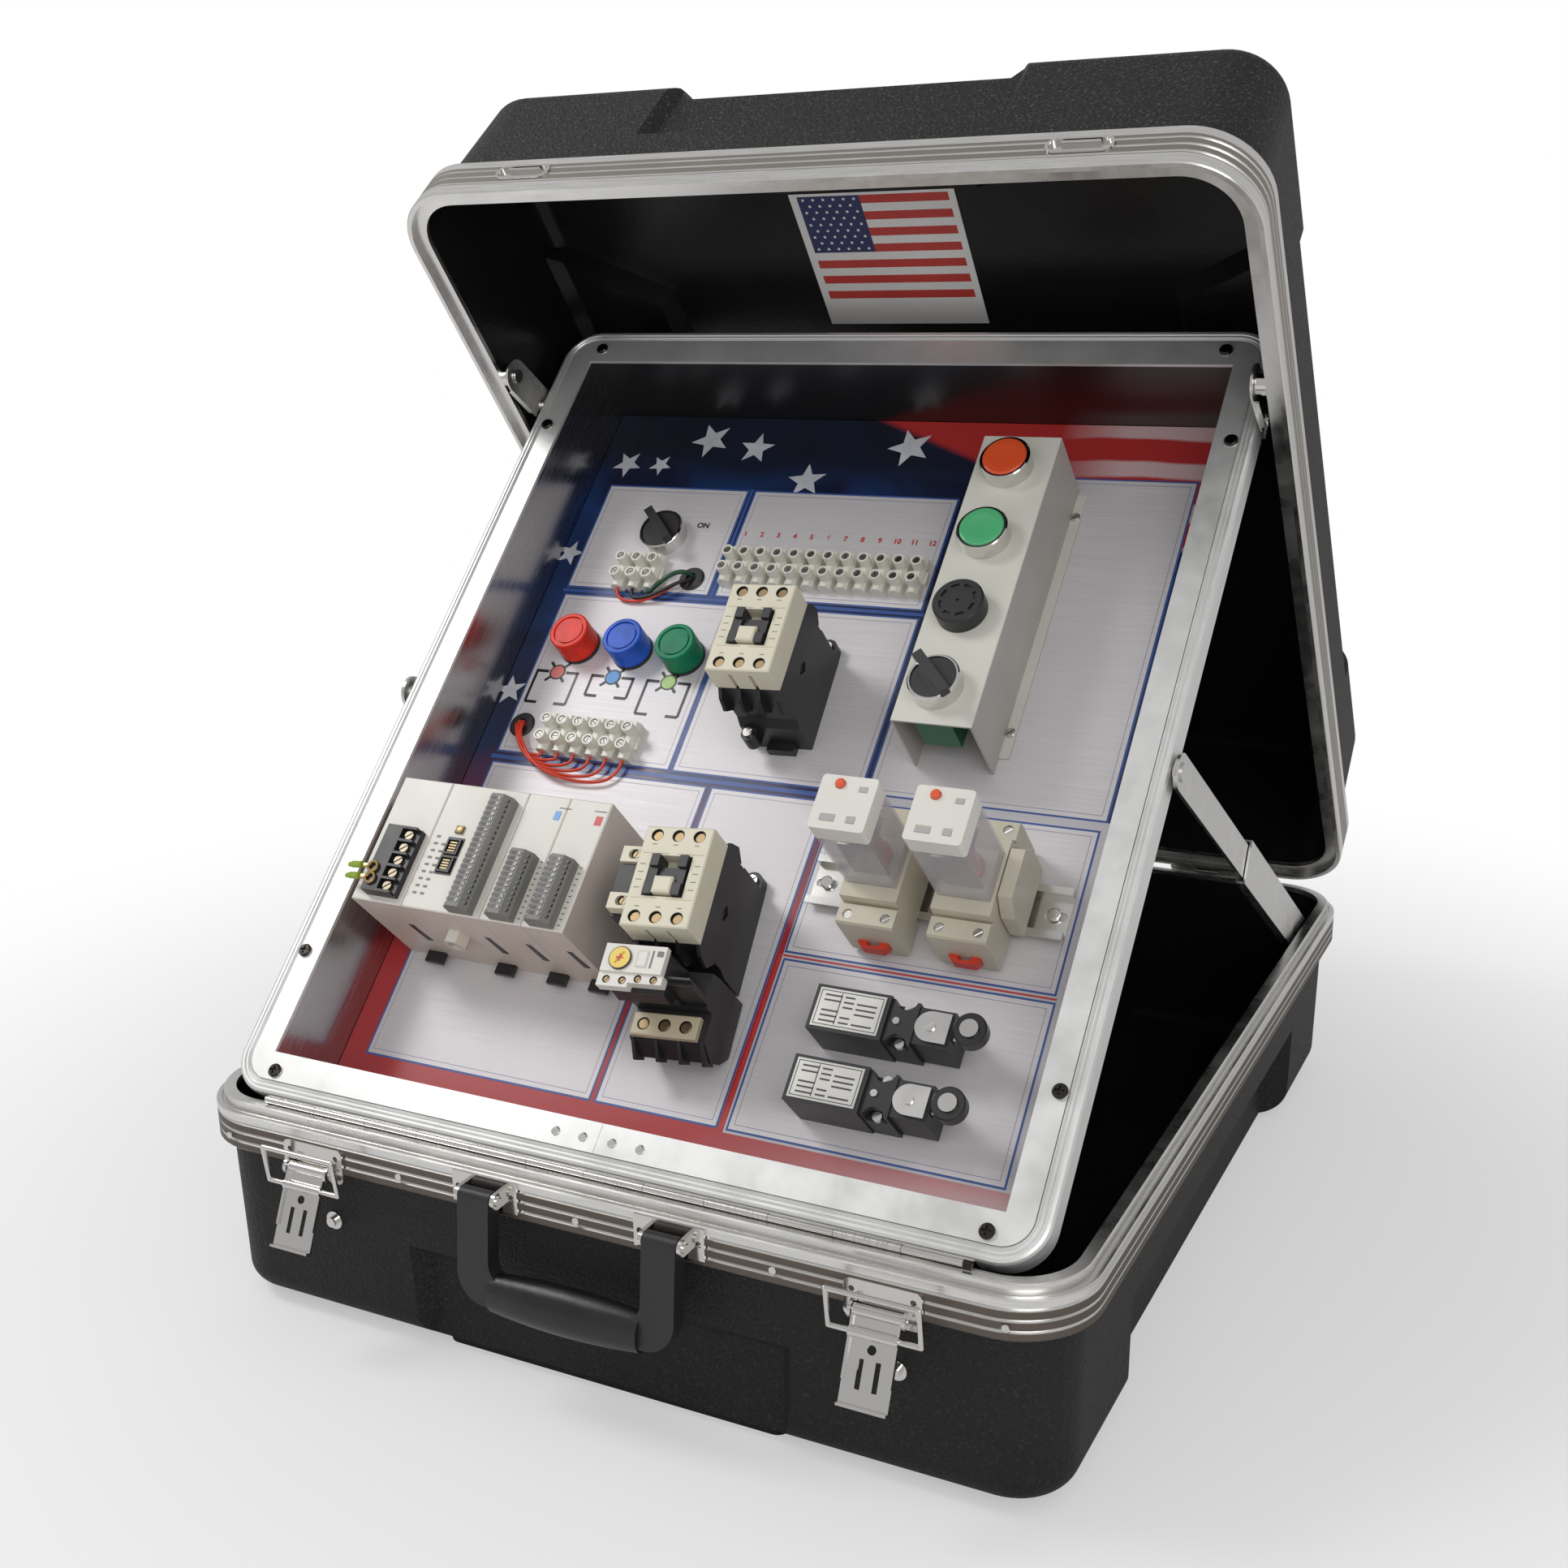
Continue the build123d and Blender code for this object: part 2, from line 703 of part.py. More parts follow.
def stay_base_pivot():
    """Stud on the base wall that carries the channel."""
    fall = rim_plane - rim_cap - stay_base_z + 8
    wall = inner_wall_x - fall * math.tan(math.radians(shell_draft))
    web = channel_web_x
    stud = rod_x(web - 1.8, wall, stay_base_y, stay_base_z, 4)
    stud += rod_x(web + channel_sheet + 0.3, wall, stay_base_y, stay_base_z, 8)
    stud += rod_x(web - 1.5, web - 0.3, stay_base_y, stay_base_z, 6)
    return stud


hook_y, hook_z = lid_point(hook_reach, hook_depth)
stud_y, stud_z = tray_point(hook_stud_reach, tray_recess - hook_stud_drop)
hook_length = math.hypot(stud_y - hook_y, stud_z - hook_z)
hook_angle = math.degrees(math.atan2(hook_z - stud_z, stud_y - hook_y))


def along_hook(shape):
    """Moves a shape drawn along +Y from the lid pivot onto the line to the tray's stud."""
    return Pos(0, hook_y, hook_z) * Rot(-hook_angle, 0, 0) * shape


def lid_hook():
    """Channel link that ties the lid to the raised tray. Its far end is notched over a stud."""
    half = hook_width / 2
    x0 = hook_slab
    x1 = hook_slab + hook_sheet
    link = box(x0, x1, 0, hook_length, -half, half)
    link += rod_x(x0, x1, 0, 0, half)
    link += rod_x(x0, x1, hook_length, 0, half)
    for side in (-1, 1):
        z0 = side * half
        z1 = side * (half - hook_sheet)
        link += box(x0, x1 + hook_flange, 3, hook_length - hook_flange_stop, min(z0, z1), max(z0, z1))
    link -= rod_x(x0 - 1, x1 + 1, 0, 0, hook_stud_radius + hinge_fit)
    radius = hook_stud_radius + 0.3
    link -= rod_x(x0 - 1, x1 + 1, hook_length, 0, radius)
    link -= box(x0 - 1, x1 + 20, hook_length - radius - hook_notch_flare, hook_length + radius, -half - 1, 0)
    return along_hook(link)


def lid_hook_bracket():
    """Pivot of the link on the lid's side wall."""
    wall = inner_wall_x - (hook_depth + hook_stud_radius) * math.tan(math.radians(shell_draft))
    cap = case_width / 2 - rim_cap_width
    x0 = hook_slab
    x1 = hook_slab + hook_sheet
    pivot = rod_x(x0 - 1.6, x0 - 0.3, hook_y, hook_z, hook_stud_radius + 2)
    pivot += rod_x(x0 - 1, wall, hook_y, hook_z, hook_stud_radius)
    pivot += rod_x(x1 + 0.3, cap, hook_y, hook_z, 8)
    return pivot


def tray_stud():
    """Stud on the tray's edge that the link hooks over."""
    x1 = hook_slab + hook_sheet
    stud = rod_x(tray_half, x1 + 0.3, stud_y, stud_z, hook_stud_radius)
    stud += rod_x(x1 + 0.3, x1 + 1.6, stud_y, stud_z, hook_stud_radius + 2)
    stud += rod_x(tray_half, hook_slab - 0.4, stud_y, stud_z, 5.5)
    return stud


def latch_plate(x):
    """Base plate of a draw latch with two ears for the lever."""
    half = latch_plate_width / 2
    z0 = latch_pivot_z - 8
    z1 = z0 + latch_plate_height + 8
    face = front_face
    y1 = face - latch_plate_sheet
    plate = Pos(x, face - latch_plate_sheet / 2, (z0 + z1) / 2) * Rot(90, 0, 0) * extrude(
        RectangleRounded(latch_plate_width, z1 - z0, 4), amount=latch_plate_sheet / 2, both=True
    )
    y = face - latch_pivot_stand
    for side in (-1, 1):
        x0 = x + side * (lever_width / 2 + 0.4)
        x1 = x0 + side * 2.0
        low, high = min(x0, x1), max(x0, x1)
        ear = box(low, high, y, y1 + 0.5, latch_pivot_z - 5, latch_pivot_z + 5)
        ear += rod_x(low, high, y, latch_pivot_z, 5)
        plate += ear
        plate -= rod_x(low - 1, high + 1, y, latch_pivot_z, 1.8)
    for side in (-1, 1):
        plate -= rod_y(x + side * (half - 5), face - 5, face + 1, z1 - 6, 1.7)
    return plate, rod_x(x - lever_width / 2 - 3, x + lever_width / 2 + 3, y, latch_pivot_z, 1.75)


def latch_lever(x):
    """Pressed lever: barrel, flat tail with two slots, turned foot, and a cross barrel for the bail."""
    half = lever_width / 2
    y = front_face - latch_pivot_stand
    sheet = lever_sheet
    tail = box(-half, half, -sheet, 0, -lever_length, -2)
    for side in (-1, 1):
        tail += box(side * half - (sheet if side > 0 else 0), side * half + (0 if side > 0 else sheet),
                    -3.0, 0, -lever_length + 14, -2)
    foot = box(-half, half, -sheet - 3, 0, -lever_length, -lever_length + sheet)
    tail += foot
    lever = tail + rod_x(-half, half, 0, 0, 3.4) + rod_x(-half, half, -bail_radius, -bail_drop, 3.2)
    for side in (-1, 1):
        lever -= box(side * 5 - 1.5, side * 5 + 1.5, -8, 4, -lever_length + 10, -lever_length + 26)
    lever -= rod_y(0, -9, 9, -lever_length + 31.5, 2.6)
    lever -= rod_x(-half - 1, half + 1, 0, 0, 1.75 + hinge_fit)
    lever -= rod_x(-half - 1, half + 1, -bail_radius, -bail_drop, bail_radius + hinge_fit)
    return Pos(x, y, latch_pivot_z) * Rot(-lever_out, 0, 0) * lever


def latch_bail(x):
    """Wire bail: it pivots in the lever's cross barrel and hooks over the keeper on the lid."""
    half = bail_width / 2
    r = bail_radius
    angle = math.radians(-lever_out)
    y = front_face - latch_pivot_stand + (-r * math.cos(angle) + bail_drop * math.sin(angle))
    z = latch_pivot_z + (-r * math.sin(angle) - bail_drop * math.cos(angle))
    inner = lever_width / 2 - 7
    wire = rod_x(inner, half, 0, 0, r) + rod_x(-half, -inner, 0, 0, r) + rod_x(-half, half, 0, bail_reach, r)
    for side in (-1, 1):
        wire += rod_z(side * half, 0, 0, bail_reach, r)
        wire += Pos(side * half, 0, 0) * Sphere(r)
        wire += Pos(side * half, 0, bail_reach) * Sphere(r)
    return Pos(x, y, z) * Rot(bail_lean, 0, 0) * wire


def latch_catch(x):
    """Small chromed stop on the shell under the lever."""
    fall = rim_plane - rim_cap - catch_z - 6
    face = front_face + rim_stand + fall * math.tan(math.radians(shell_draft))
    return rod_y(x + catch_offset, face - 5, face, catch_z, 3.2) + rod_y(x + catch_offset, face - 1.5, face, catch_z, 6)


def handle_bracket(x):
    """Chromed loop plate that carries one arm of the handle."""
    face = front_face
    y = face - handle_pivot_stand
    plate = box(x - 23, x + 23, face - 1.5, face, handle_pivot_z - 10, handle_pivot_z + 10)
    for side in (-1, 1):
        x0 = x + side * (handle_arm_width / 2 + 0.5)
        x1 = x0 + side * 2.5
        low, high = min(x0, x1), max(x0, x1)
        ear = box(low, high, y, face - 1, handle_pivot_z - 5, handle_pivot_z + 5)
        ear += rod_x(low, high, y, handle_pivot_z, 5)
        plate += ear
        plate -= rod_x(low - 1, high + 1, y, handle_pivot_z, handle_pin_radius)
        plate -= rod_y(x + side * 19, face - 5, face + 1, handle_pivot_z, 2)
    width = handle_arm_width / 2 + 4
    return plate, rod_x(x - width, x + width, y, handle_pivot_z, handle_pin_radius - 0.02)


def hang_handle(shape):
    """Hangs a shape from the handle's pivots, tilted a little outwards."""
    return Pos(0, front_face - handle_pivot_stand, handle_pivot_z) * Rot(-handle_out, 0, 0) * shape


def handle_frame():
    """Flat U with rounded corners, drawn down from its pivots."""
    outer = handle_half_width + handle_arm_width / 2
    inner = handle_half_width - handle_arm_width / 2
    thick = handle_thickness
    plan = RectangleRounded(2 * outer, handle_reach + 60, 20)
    body = Pos(0, 0, -(handle_reach + 60) / 2 + 60) * Rot(90, 0, 0) * extrude(plan, amount=thick / 2, both=True)
    window = RectangleRounded(2 * inner, handle_reach + 60, 12)
    gap = Pos(0, 0, -(handle_reach + 60) / 2 + 60 + handle_bar) * Rot(90, 0, 0) * extrude(window, amount=thick, both=True)
    body -= gap
    body -= box(-outer - 1, outer + 1, -thick, thick, 0, 80)
    for side in (-1, 1):
        x = side * handle_half_width
        body += rod_x(x - handle_arm_width / 2, x + handle_arm_width / 2, 0, 0, thick / 2)
        body -= rod_x(x - 20, x + 20, 0, 0, handle_pin_radius + hinge_fit)
    return body


def handle_grip():
    """Padded sleeve round the bar of the handle, fuller in the middle."""
    half = handle_half_width - handle_arm_width / 2 - 1
    low = -handle_reach + handle_bar / 2
    sections = []
    for x, radius in ((-half, 9.0), (-half * 0.55, handle_grip_radius), (half * 0.55, handle_grip_radius), (half, 9.0)):
        sections.append(Pos(x, 0, low) * Rot(0, 90, 0) * Ellipse(radius + 3, radius))
    return loft(sections) - handle_frame()


def bezel(x, y, z):
    """Metal ring with a floor, round a button, buzzer or selector."""
    ring_body = rod_z(x, y, z, z + bezel_height, bezel_radius)
    ring_body = chamfer(ring_body.edges().group_by(Axis.Z)[-1], 0.8)
    return ring_body - rod_z(x, y, z + 1.5, z + bezel_height + 1, control_radius + control_gap)


def push_button(x, y, z):
    """Round cap that sinks into its bezel, with a slightly dished face."""
    low = z + 1.5 + button_well
    top = z + bezel_height + 1.2
    cap = rod_z(x, y, low, top, control_radius)
    cap = fillet(cap.edges().group_by(Axis.Z)[-1], 1.4)
    dish = Pos(x, y, top + 90) * Sphere(90.6)
    return cap - dish


def selector(x, y, z, turn):
    """Disc with a long pointer handle across it."""
    top = z + bezel_height - 1
    disc = rod_z(0, 0, z + 1.5, top, control_radius)
    points = [(-handle_bar_half, top + 4), (-handle_bar_half, top + handle_bar_height)]
    points += [(handle_bar_half - 3, top + handle_bar_height - 2), (handle_bar_half, top + 6)]
    points += [(handle_bar_half, top + 4), (12, top - 0.5), (-12, top - 0.5)]
    outline = Plane.XZ * Polygon(*points, align=None)
    handle = extrude(outline, amount=handle_bar_width / 2, both=True)
    handle = chamfer(handle.edges().filter_by(Axis.Z), 1.2)
    return Pos(x, y, 0) * Rot(0, 0, turn) * (disc + handle)


def buzzer(x, y, z):
    """Black sounder: drum with a ring of slots and a centre hole."""
    drum = rod_z(x, y, z, z + bezel_height + 0.6, bezel_radius - 0.2)
    drum = chamfer(drum.edges().group_by(Axis.Z)[-1], 1.2)
    top = z + bezel_height + 0.6
    groove = rod_z(x, y, top - 1.2, top + 1, 12.6) - rod_z(x, y, top - 2, top + 2, 10.4)
    for angle in (0, 45, 90, 135):
        groove -= Pos(x, y, top) * Rot(0, 0, angle) * Box(40, 3.4, 6)
    return drum - groove - rod_z(x, y, top - 1.5, top + 1, 1.0)


def terminal_strip(start, ways):
    """Nylon terminal strip: barrels side by side, each with two screw towers."""
    left, row = start
    strip = box(left, left + ways * terminal_pitch, row - 5, row + 5, 0, 5)
    for way in range(ways):
        x = left + (way + 0.5) * terminal_pitch
        barrel = box(x - 4.6, x + 4.6, row - terminal_depth / 2, row + terminal_depth / 2, 0, 9)
        strip += chamfer(barrel.edges().filter_by(Axis.Y).group_by(Axis.Z)[-1], 2.6)
        for side in (-1, 1):
            strip += rod_z(x, row + side * 7, 5, terminal_height, terminal_tower)
    return strip


def grommet(x, y):
    body = rod_z(x, y, 0, grommet_height, grommet_radius)
    body = chamfer(body.edges().group_by(Axis.Z)[-1], 1.0)
    return body - rod_z(x, y, 0.6, grommet_height + 1, grommet_hole)


def bent_wire(*points):
    """A captive wire carried along straight runs with rounded bends."""
    path = FilletPolyline(*points, radius=wire_bend)
    start = Plane(origin=path @ 0, z_dir=path % 0)
    return sweep(start * Circle(wire_radius), path=path)


def wire_set(hole, strip_place, ways, first_dip):
    """Nested wires from a grommet to the front of a terminal strip, the nearest way innermost."""
    x0, y0 = hole
    left, row = strip_place
    face = row - terminal_depth / 2
    across = -1 if left > x0 else 1
    count = len(ways)
    wires = []
    for index, way in enumerate(ways):
        angle = math.pi * (index + 0.5) / count
        shift = (grommet_hole - wire_radius - 0.5) * math.cos(angle)
        lift = (grommet_hole - wire_radius - 0.5) * math.sin(angle) * (1 if index % 2 else -1)
        x = left + (way + 0.5) * terminal_pitch
        start_x = x0 - across * shift
        level = wire_levels[index % 2]
        dip = face - first_dip - index * (2 * wire_radius + 0.5)
        wires.append(bent_wire(
            (start_x, y0 + lift, 1.0), (start_x, y0 + lift, level + wire_bend + 0.6),
            (start_x, y0 + lift - 13, level), (start_x, dip, level), (x, dip, level), (x, face, level),
        ))
    return wires


def indicator_lamp(x, y):
    """Coloured lens: a drum with a raised rim and a stepped crown."""
    base = 3.0
    lens = rod_z(x, y, base, lamp_height, lamp_radius)
    lens = fillet(lens.edges().group_by(Axis.Z)[-1], 1.2)
    crown = rod_z(x, y, lamp_height - 1.4, lamp_height + 1, lamp_radius - 3.2)
    return lens - crown + rod_z(x, y, base, lamp_height - 0.2, lamp_radius - 4.6)


def lamp_collar(x, y):
    return rod_z(x, y, 0, 3.0, lamp_radius + 0.5)


def place_contactor(shape, place, turn):
    return Pos(place[0], place[1], 0) * Rot(0, 0, turn) * shape


def contactor_body(alone):
    """Black lower part: wide base, waist, barrier fins and screw lugs. The front lug shows when it stands alone."""
    half = contactor_width / 2 - 1
    end = contactor_length / 2
    waist = contactor_base_height
    top = contactor_cover_start
    side = [(-end - 3, 0), (-end - 3, waist - 14), (-end, waist - 6), (-end, top), (end, top), (end, waist)]
    side += [(end + 1, waist - 2), (end + 1, 0)]
    body = profile_x(side, -half, half)
    body -= profile_x([(-8, waist + 8), (-3, waist + 12), (4, waist + 8), (-1, waist + 3)], half - 1.5, half + 1)
    for index in range(4):
        x = -half + 1.2 + index * (2 * half - 2.4) / 3
        fin = [(-end + 1, top), (-end - 5, top - 6), (-end - 8, top - 17), (-end - 1, top - 26), (-end + 1, top - 20)]
        body += profile_x(fin, x - 1.2, x + 1.2)
        body += profile_x([(-y, z) for y, z in fin], x - 1.2, x + 1.2)
    body += box(8, 22, end, end + 6, 0, 9) + rod_z(15, end + 6, 0, 9, 7)
    if alone:
        body += box(-20, -9, -end - 8, -end, 14, 26) + rod_z(-14.5, -end - 8, 14, 26, 5.5)
        body += box(-8, 12, -end - 9, -end, 0, 7)
    return body


def contactor_cover():
    """Cream cover with six screw wells and a window for the moving bridge."""
    half = contactor_width / 2
    end = contactor_length / 2
    cover = box(-half, half, -end, end, contactor_cover_start, contactor_height)
    cover = chamfer(cover.edges().group_by(Axis.Z)[-1], 0.8)
    window = contactor_window / 2
    floor = contactor_height - contactor_window_depth
    cover -= box(-window, window, -window, window, floor, contactor_height + 1)
    for x in (-contactor_screw_pitch, 0, contactor_screw_pitch):
        for y in (-contactor_screw_row, contactor_screw_row):
            cover -= rod_z(x, y, contactor_height - well_depth, contactor_height + 1, well_radius)
    for index in (-1, 1):
        x = index * contactor_screw_pitch / 2
        for y in (-end, end):
            cover -= box(x - 1.4, x + 1.4, y - 3, y + 3, contactor_cover_start - 1, contactor_height - 6)
    return cover


def contactor_bridge():
    """Black rails of the moving bridge, shaped like an H."""
    floor = contactor_height - contactor_window_depth
    top = contactor_height + 3
    end = contactor_window / 2 - 0.6
    bridge = box(-10, 10, 0.5, 6, floor, top - 4)
    for side in (-1, 1):
        rail = box(side * 9.6 - 2.8, side * 9.6 + 2.8, -end, end, floor, top)
        rail -= box(side * 9.6 - 4, side * 9.6 + 4, -5.5, 5.5, top - 2, top + 1)
        bridge += rail
    return bridge


def contactor_slider():
    """Cream indicator between the rails, which sinks when it is pressed."""
    top = contactor_height + 4
    tab = box(-6.4, 6.4, -12.5, -1.5, contactor_height - contactor_window_depth + slider_travel + 0.8, top)
    return chamfer(tab.edges().group_by(Axis.Z)[-1], 1.0)


def contactor_screws(alone):
    screws = []
    z = contactor_height - well_depth
    for x in (-contactor_screw_pitch, 0, contactor_screw_pitch):
        for y in (-contactor_screw_row, contactor_screw_row):
            screws.append(slot_screw(x, y, z, well_radius - 0.4, 2.6))
    screws.append(slot_screw(15, contactor_length / 2 + 6, 9, 4, 2.2))
    if alone:
        screws.append(slot_screw(-14.5, -contactor_length / 2 - 8, 26, 3.4, 2.2))
    return screws


def aux_block():
    """Side contact block of the motor starter: black middle with two cream terminal ends."""
    x0 = -aux_centre - aux_width / 2
    x1 = -contactor_width / 2 - 0.3
    body = box(x0, x1, -22, 24, 30, aux_height - 8)
    body += box(x0, x1, -9, 11, aux_height - 8, aux_height - 2)
    faces = []
    for row in (-14.6, 17.8):
        face = box(x0, x1, row - 5.4, row + 5.4, aux_height - 8, aux_height)
        faces.append(face - rod_z((x0 + x1) / 2, row, aux_height - 3, aux_height + 1, 3.4))
    return body, faces


def overload_parts():
    """Thermal overload relay below the contactor: black body, white control face, tan terminals."""
    top = overload_height
    low = overload_low
    right = contactor_width / 2 + 4
    left = -contactor_width / 2 - 1
    side = [(-43, 2), (-43, 40), (-46, 62), (-46, top - 5), (-61.5, top - 5), (-61.5, top - 9)]
    side += [(-71, top - 9), (-72, top - 20)]
    side += [(-66, top - 26), (-66, low - 5), (-85, low - 5), (-92, low - 20), (-88, 12), (-80, 2)]
    body = profile_x(side, left, right)
    body -= profile_x([(-60, 100), (-60, low + 8), (-40, low + 8), (-40, 100)], 11, right + 1)
    body -= profile_x([(-95, 60), (-64, low + 4), (-64, 100), (-95, 100)], 11, right + 1)
    for index in range(4):
        x = left + 2 + index * (right - left - 4) / 3
        body += profile_x([(-85, low - 5), (-96, low - 16), (-92, low - 26), (-85, low - 20)], x - 1.2, x + 1.2)
    face = box(-31.5, 10, -61.5, -43.5, top - 5, top)
    row = box(-32.5, -11.5, -70.5, -61.6, top - 9, top - 2)
    row += box(-11.5, 11, -67.5, -61.6, top - 9, top - 2)
    wells = ((-26.5, -66.2), (-15.6, -66.2), (-5.4, -64.6), (5.2, -64.6))
    for x, y in wells:
        row -= rod_z(x, y, top - 5, top, 2.6)
    terminals = box(-22.5, 22.5, -85, -70, low - 5, low)
    terminals = chamfer(terminals.edges().group_by(Axis.Z)[-1], 0.8)
    screws = []
    for x in (-contactor_screw_pitch, 0, contactor_screw_pitch):
        terminals -= rod_z(x, -77.8, low - 3.4, low + 1, well_radius)
        screws.append(slot_screw(x, -77.8, low - 3.4, well_radius - 0.4, 1.6))
    dial = rod_z(-19.5, -53.0, top, top + 1.6, 6.8)
    dial -= Pos(-19.5, -53.0, top + 1.6) * Rot(0, 0, 60) * Box(9, 1.6, 1.6)
    return body, [face, row], terminals, dial, screws


def control_box():
    """Folded channel that carries the buttons, with a screwed flange on one side."""
    x0 = box_left
    x1 = box_left + box_width
    y0 = box_front
    y1 = box_front + box_length
    sheet = box_sheet
    body = box(x0, x1, y0, y1, 0, box_height)
    body = fillet(body.edges().filter_by(Axis.Y).group_by(Axis.Z)[-1], 1.2)
    body -= box(x0 + sheet, x1 - sheet, y0 - 1, y1 - sheet, -1, box_height - sheet)
    body += box(x1 - sheet, x1 + box_flange, y0 + 12, y1 - 4, 0, sheet)
    return body


def contact_blocks():
    """Green contact blocks behind the controls, hung from the plate."""
    blocks = []
    for row in control_rows:
        top = box_height - box_sheet
        block = box(control_column - 13, control_column + 13, row - 22, row + 16, 22, top - 8)
        block += box(control_column - 10, control_column + 10, row - 12, row + 12, top - 8, top)
        blocks.append(block)
    return blocks


def rail(x0, x1, row):
    """Top hat mounting rail."""
    half = rail_width / 2
    web = rail_web / 2
    t = rail_sheet
    h = rail_height
    side = [(-half, h), (-web, h), (-web, t), (web, t), (web, h), (half, h), (half, h - t)]
    side += [(web + t, h - t), (web + t, 0), (-web - t, 0), (-web - t, h - t), (-half, h - t)]
    body = Pos(0, row, 0) * profile_x(side, x0, x1)
    for x in (x0 + 9, x1 - 9):
        body -= Pos(x, row, 0) * extrude(SlotOverall(15, 6), amount=4, both=True)
    return body


def plc_modules():
    """Four modules side by side on their rail, each with an arched slot below."""
    modules = []
    x = plc_left
    y1 = plc_front + plc_tall
    for width in plc_widths:
        x0 = x + plc_seam / 2
        x1 = x + width - plc_seam / 2
        body = box(x0, x1, plc_front, y1, 0.5, plc_depth)
        body = chamfer(body.edges().group_by(Axis.Z)[-1], 0.8)
        row = plc_front + plc_tall / 2
        body -= box(x0 - 1, x1 + 1, row - rail_width / 2 - 0.5, row + rail_width / 2 + 0.5, 0, rail_height)
        middle = x1 - 9
        body -= profile_y([(middle - 3, 52), (middle + 1, 50), (middle + 4, 26), (middle, 28)],
                          plc_front - 1, plc_front + 1.6)
        modules.append(body)
        x += width
    return modules


def plc_terminals():
    """Grey plug in terminal strips: one long and two short."""
    strips = []
    for x0, y1 in ((-151.0, 221.0), (-119.3, 184.5), (-89.3, 184.5)):
        side = [(x0, plc_depth), (x0, plc_depth + 8), (x0 + 4, plc_depth + 12)]
        side += [(x0 + 13, plc_depth + 12), (x0 + 18, plc_depth + 7), (x0 + 18, plc_depth)]
        strip = profile_y(side, plc_front + 1, y1)
        count = 20 if y1 > 200 else 11
        pitch = (y1 - plc_front - 5) / count
        cuts = []
        for index in range(count):
            y = plc_front + 3.5 + (index + 0.5) * pitch
            cuts.append(box(x0 - 1, x0 + 2.5, y - 1.1, y + 1.1, plc_depth + 3, plc_depth + 13))
        strips.append(strip - Compound(cuts))
    return strips


def plc_black_parts():
    """Black mains terminal block, port recess plates and rail clips."""
    pieces = []
    block = box(-218.5, -193.5, 141.5, 190.0, plc_depth, plc_depth + 5)
    block += box(-218.5, -206.0, 141.5, 190.0, plc_depth + 5, plc_depth + 9)
    for index in range(6):
        y = 141.5 + index * (48.5 - 1.8) / 5
        block += box(-206.0, -195.0, y, y + 1.8, plc_depth + 5, plc_depth + 9)
    pieces.append(block)
    ports = box(-174.5, -162.0, 163.5, 190.5, plc_depth, plc_depth + 0.8)
    pieces.append(ports)
    for x in (-203.5, -146.0, -104.5, -72.0):
        pieces.append(box(x - 7, x + 7, plc_front - 8, plc_front, 5, 8.5))
    return pieces


def plc_knob():
    """Grey cable nut on the underside of the processor module."""
    flats = Plane.XZ * Pos(-163.0, 46.0) * RegularPolygon(8.5, 6)
    nut = Pos(0, plc_front - 4, 0) * extrude(flats, amount=4, both=True)
    return nut - rod_y(-163.0, plc_front - 9, plc_front - 3, 46.0, 5)


def plc_screws():
    screws = []
    for index in range(5):
        y = 147.2 + index * (48.5 - 1.8) / 5
        screws.append(slot_screw(-200.6, y, plc_depth + 5, 3.2, 2.0))
    return screws


def relay_socket(x):
    """Two terraces of screws in front and behind, with a seat for the relay between them."""
    f = socket_front
    rail_half = rail_width / 2 + 0.8
    side = [(f, 3), (f, 38), (f + 1, 40), (f + 13, 40), (f + 13.5, 36), (f + 15, 36), (f + 15.5, relay_seat)]
    side += [(-f - 15.5, relay_seat), (-f - 15, 36), (-f - 13.5, 36), (-f - 13, 40), (-f - 1, 40), (-f, 38), (-f, 3)]
    side += [(rail_half, 3), (rail_half, rail_height), (-rail_half, rail_height), (-rail_half, 3)]
    half = socket_width / 2
    socket = Pos(x, relay_row, 0) * profile_x(side, -half, half)
    for sx in (-1, 1):
        for y in (f + 6.5, -f - 6.5):
            socket -= rod_z(x + sx * 12.5, relay_row + y, 37, 41, 3.2)
    return socket


def relay_socket_screws(x):
    screws = []
    for sx in (-1, 1):
        for y in (socket_front + 6.5, -socket_front - 6.5):
            screws.append(slot_screw(x + sx * 12.5, relay_row + y, 37, 2.8, 1.8))
    return screws


def relay_clip(x):
    """Red release tab in front of a socket."""
    y = relay_row + socket_front
    clip = box(x - 10, x + 10, y - 5, y, 10, 18)
    clip = chamfer(clip.edges().filter_by(Axis.Z).group_by(Axis.Y)[0], 3)
    return clip - box(x - 4, x + 4, y - 3, y + 1, 9, 19)


def relay_housing(x):
    half = relay_side / 2 - 1
    body = box(x - half, x + half, relay_row - half, relay_row + half, relay_seat, relay_top - relay_cap)
    return chamfer(body.edges().filter_by(Axis.Z), 1.5)


def relay_cap_part(x):
    """White cap with a well for the test button and two windows."""
    half = relay_side / 2
    cap = box(x - half, x + half, relay_row - half, relay_row + half, relay_top - relay_cap, relay_top)
    cap = fillet(cap.edges().filter_by(Axis.Z), 2.5)
    bx, by = relay_button_offset
    cap -= rod_z(x + bx, relay_row + by, relay_top - 4, relay_top + 1, relay_button_radius + 0.3)
    cap -= box(x - 12, x - 2, relay_row - 13, relay_row - 8, relay_top - 0.8, relay_top + 1)
    cap -= box(x + 5, x + 11, relay_row - 13, relay_row - 8, relay_top - 0.8, relay_top + 1)
    cap -= box(x + 7, x + 13, relay_row + 8, relay_row + 12, relay_top - 0.8, relay_top + 1)
    return cap


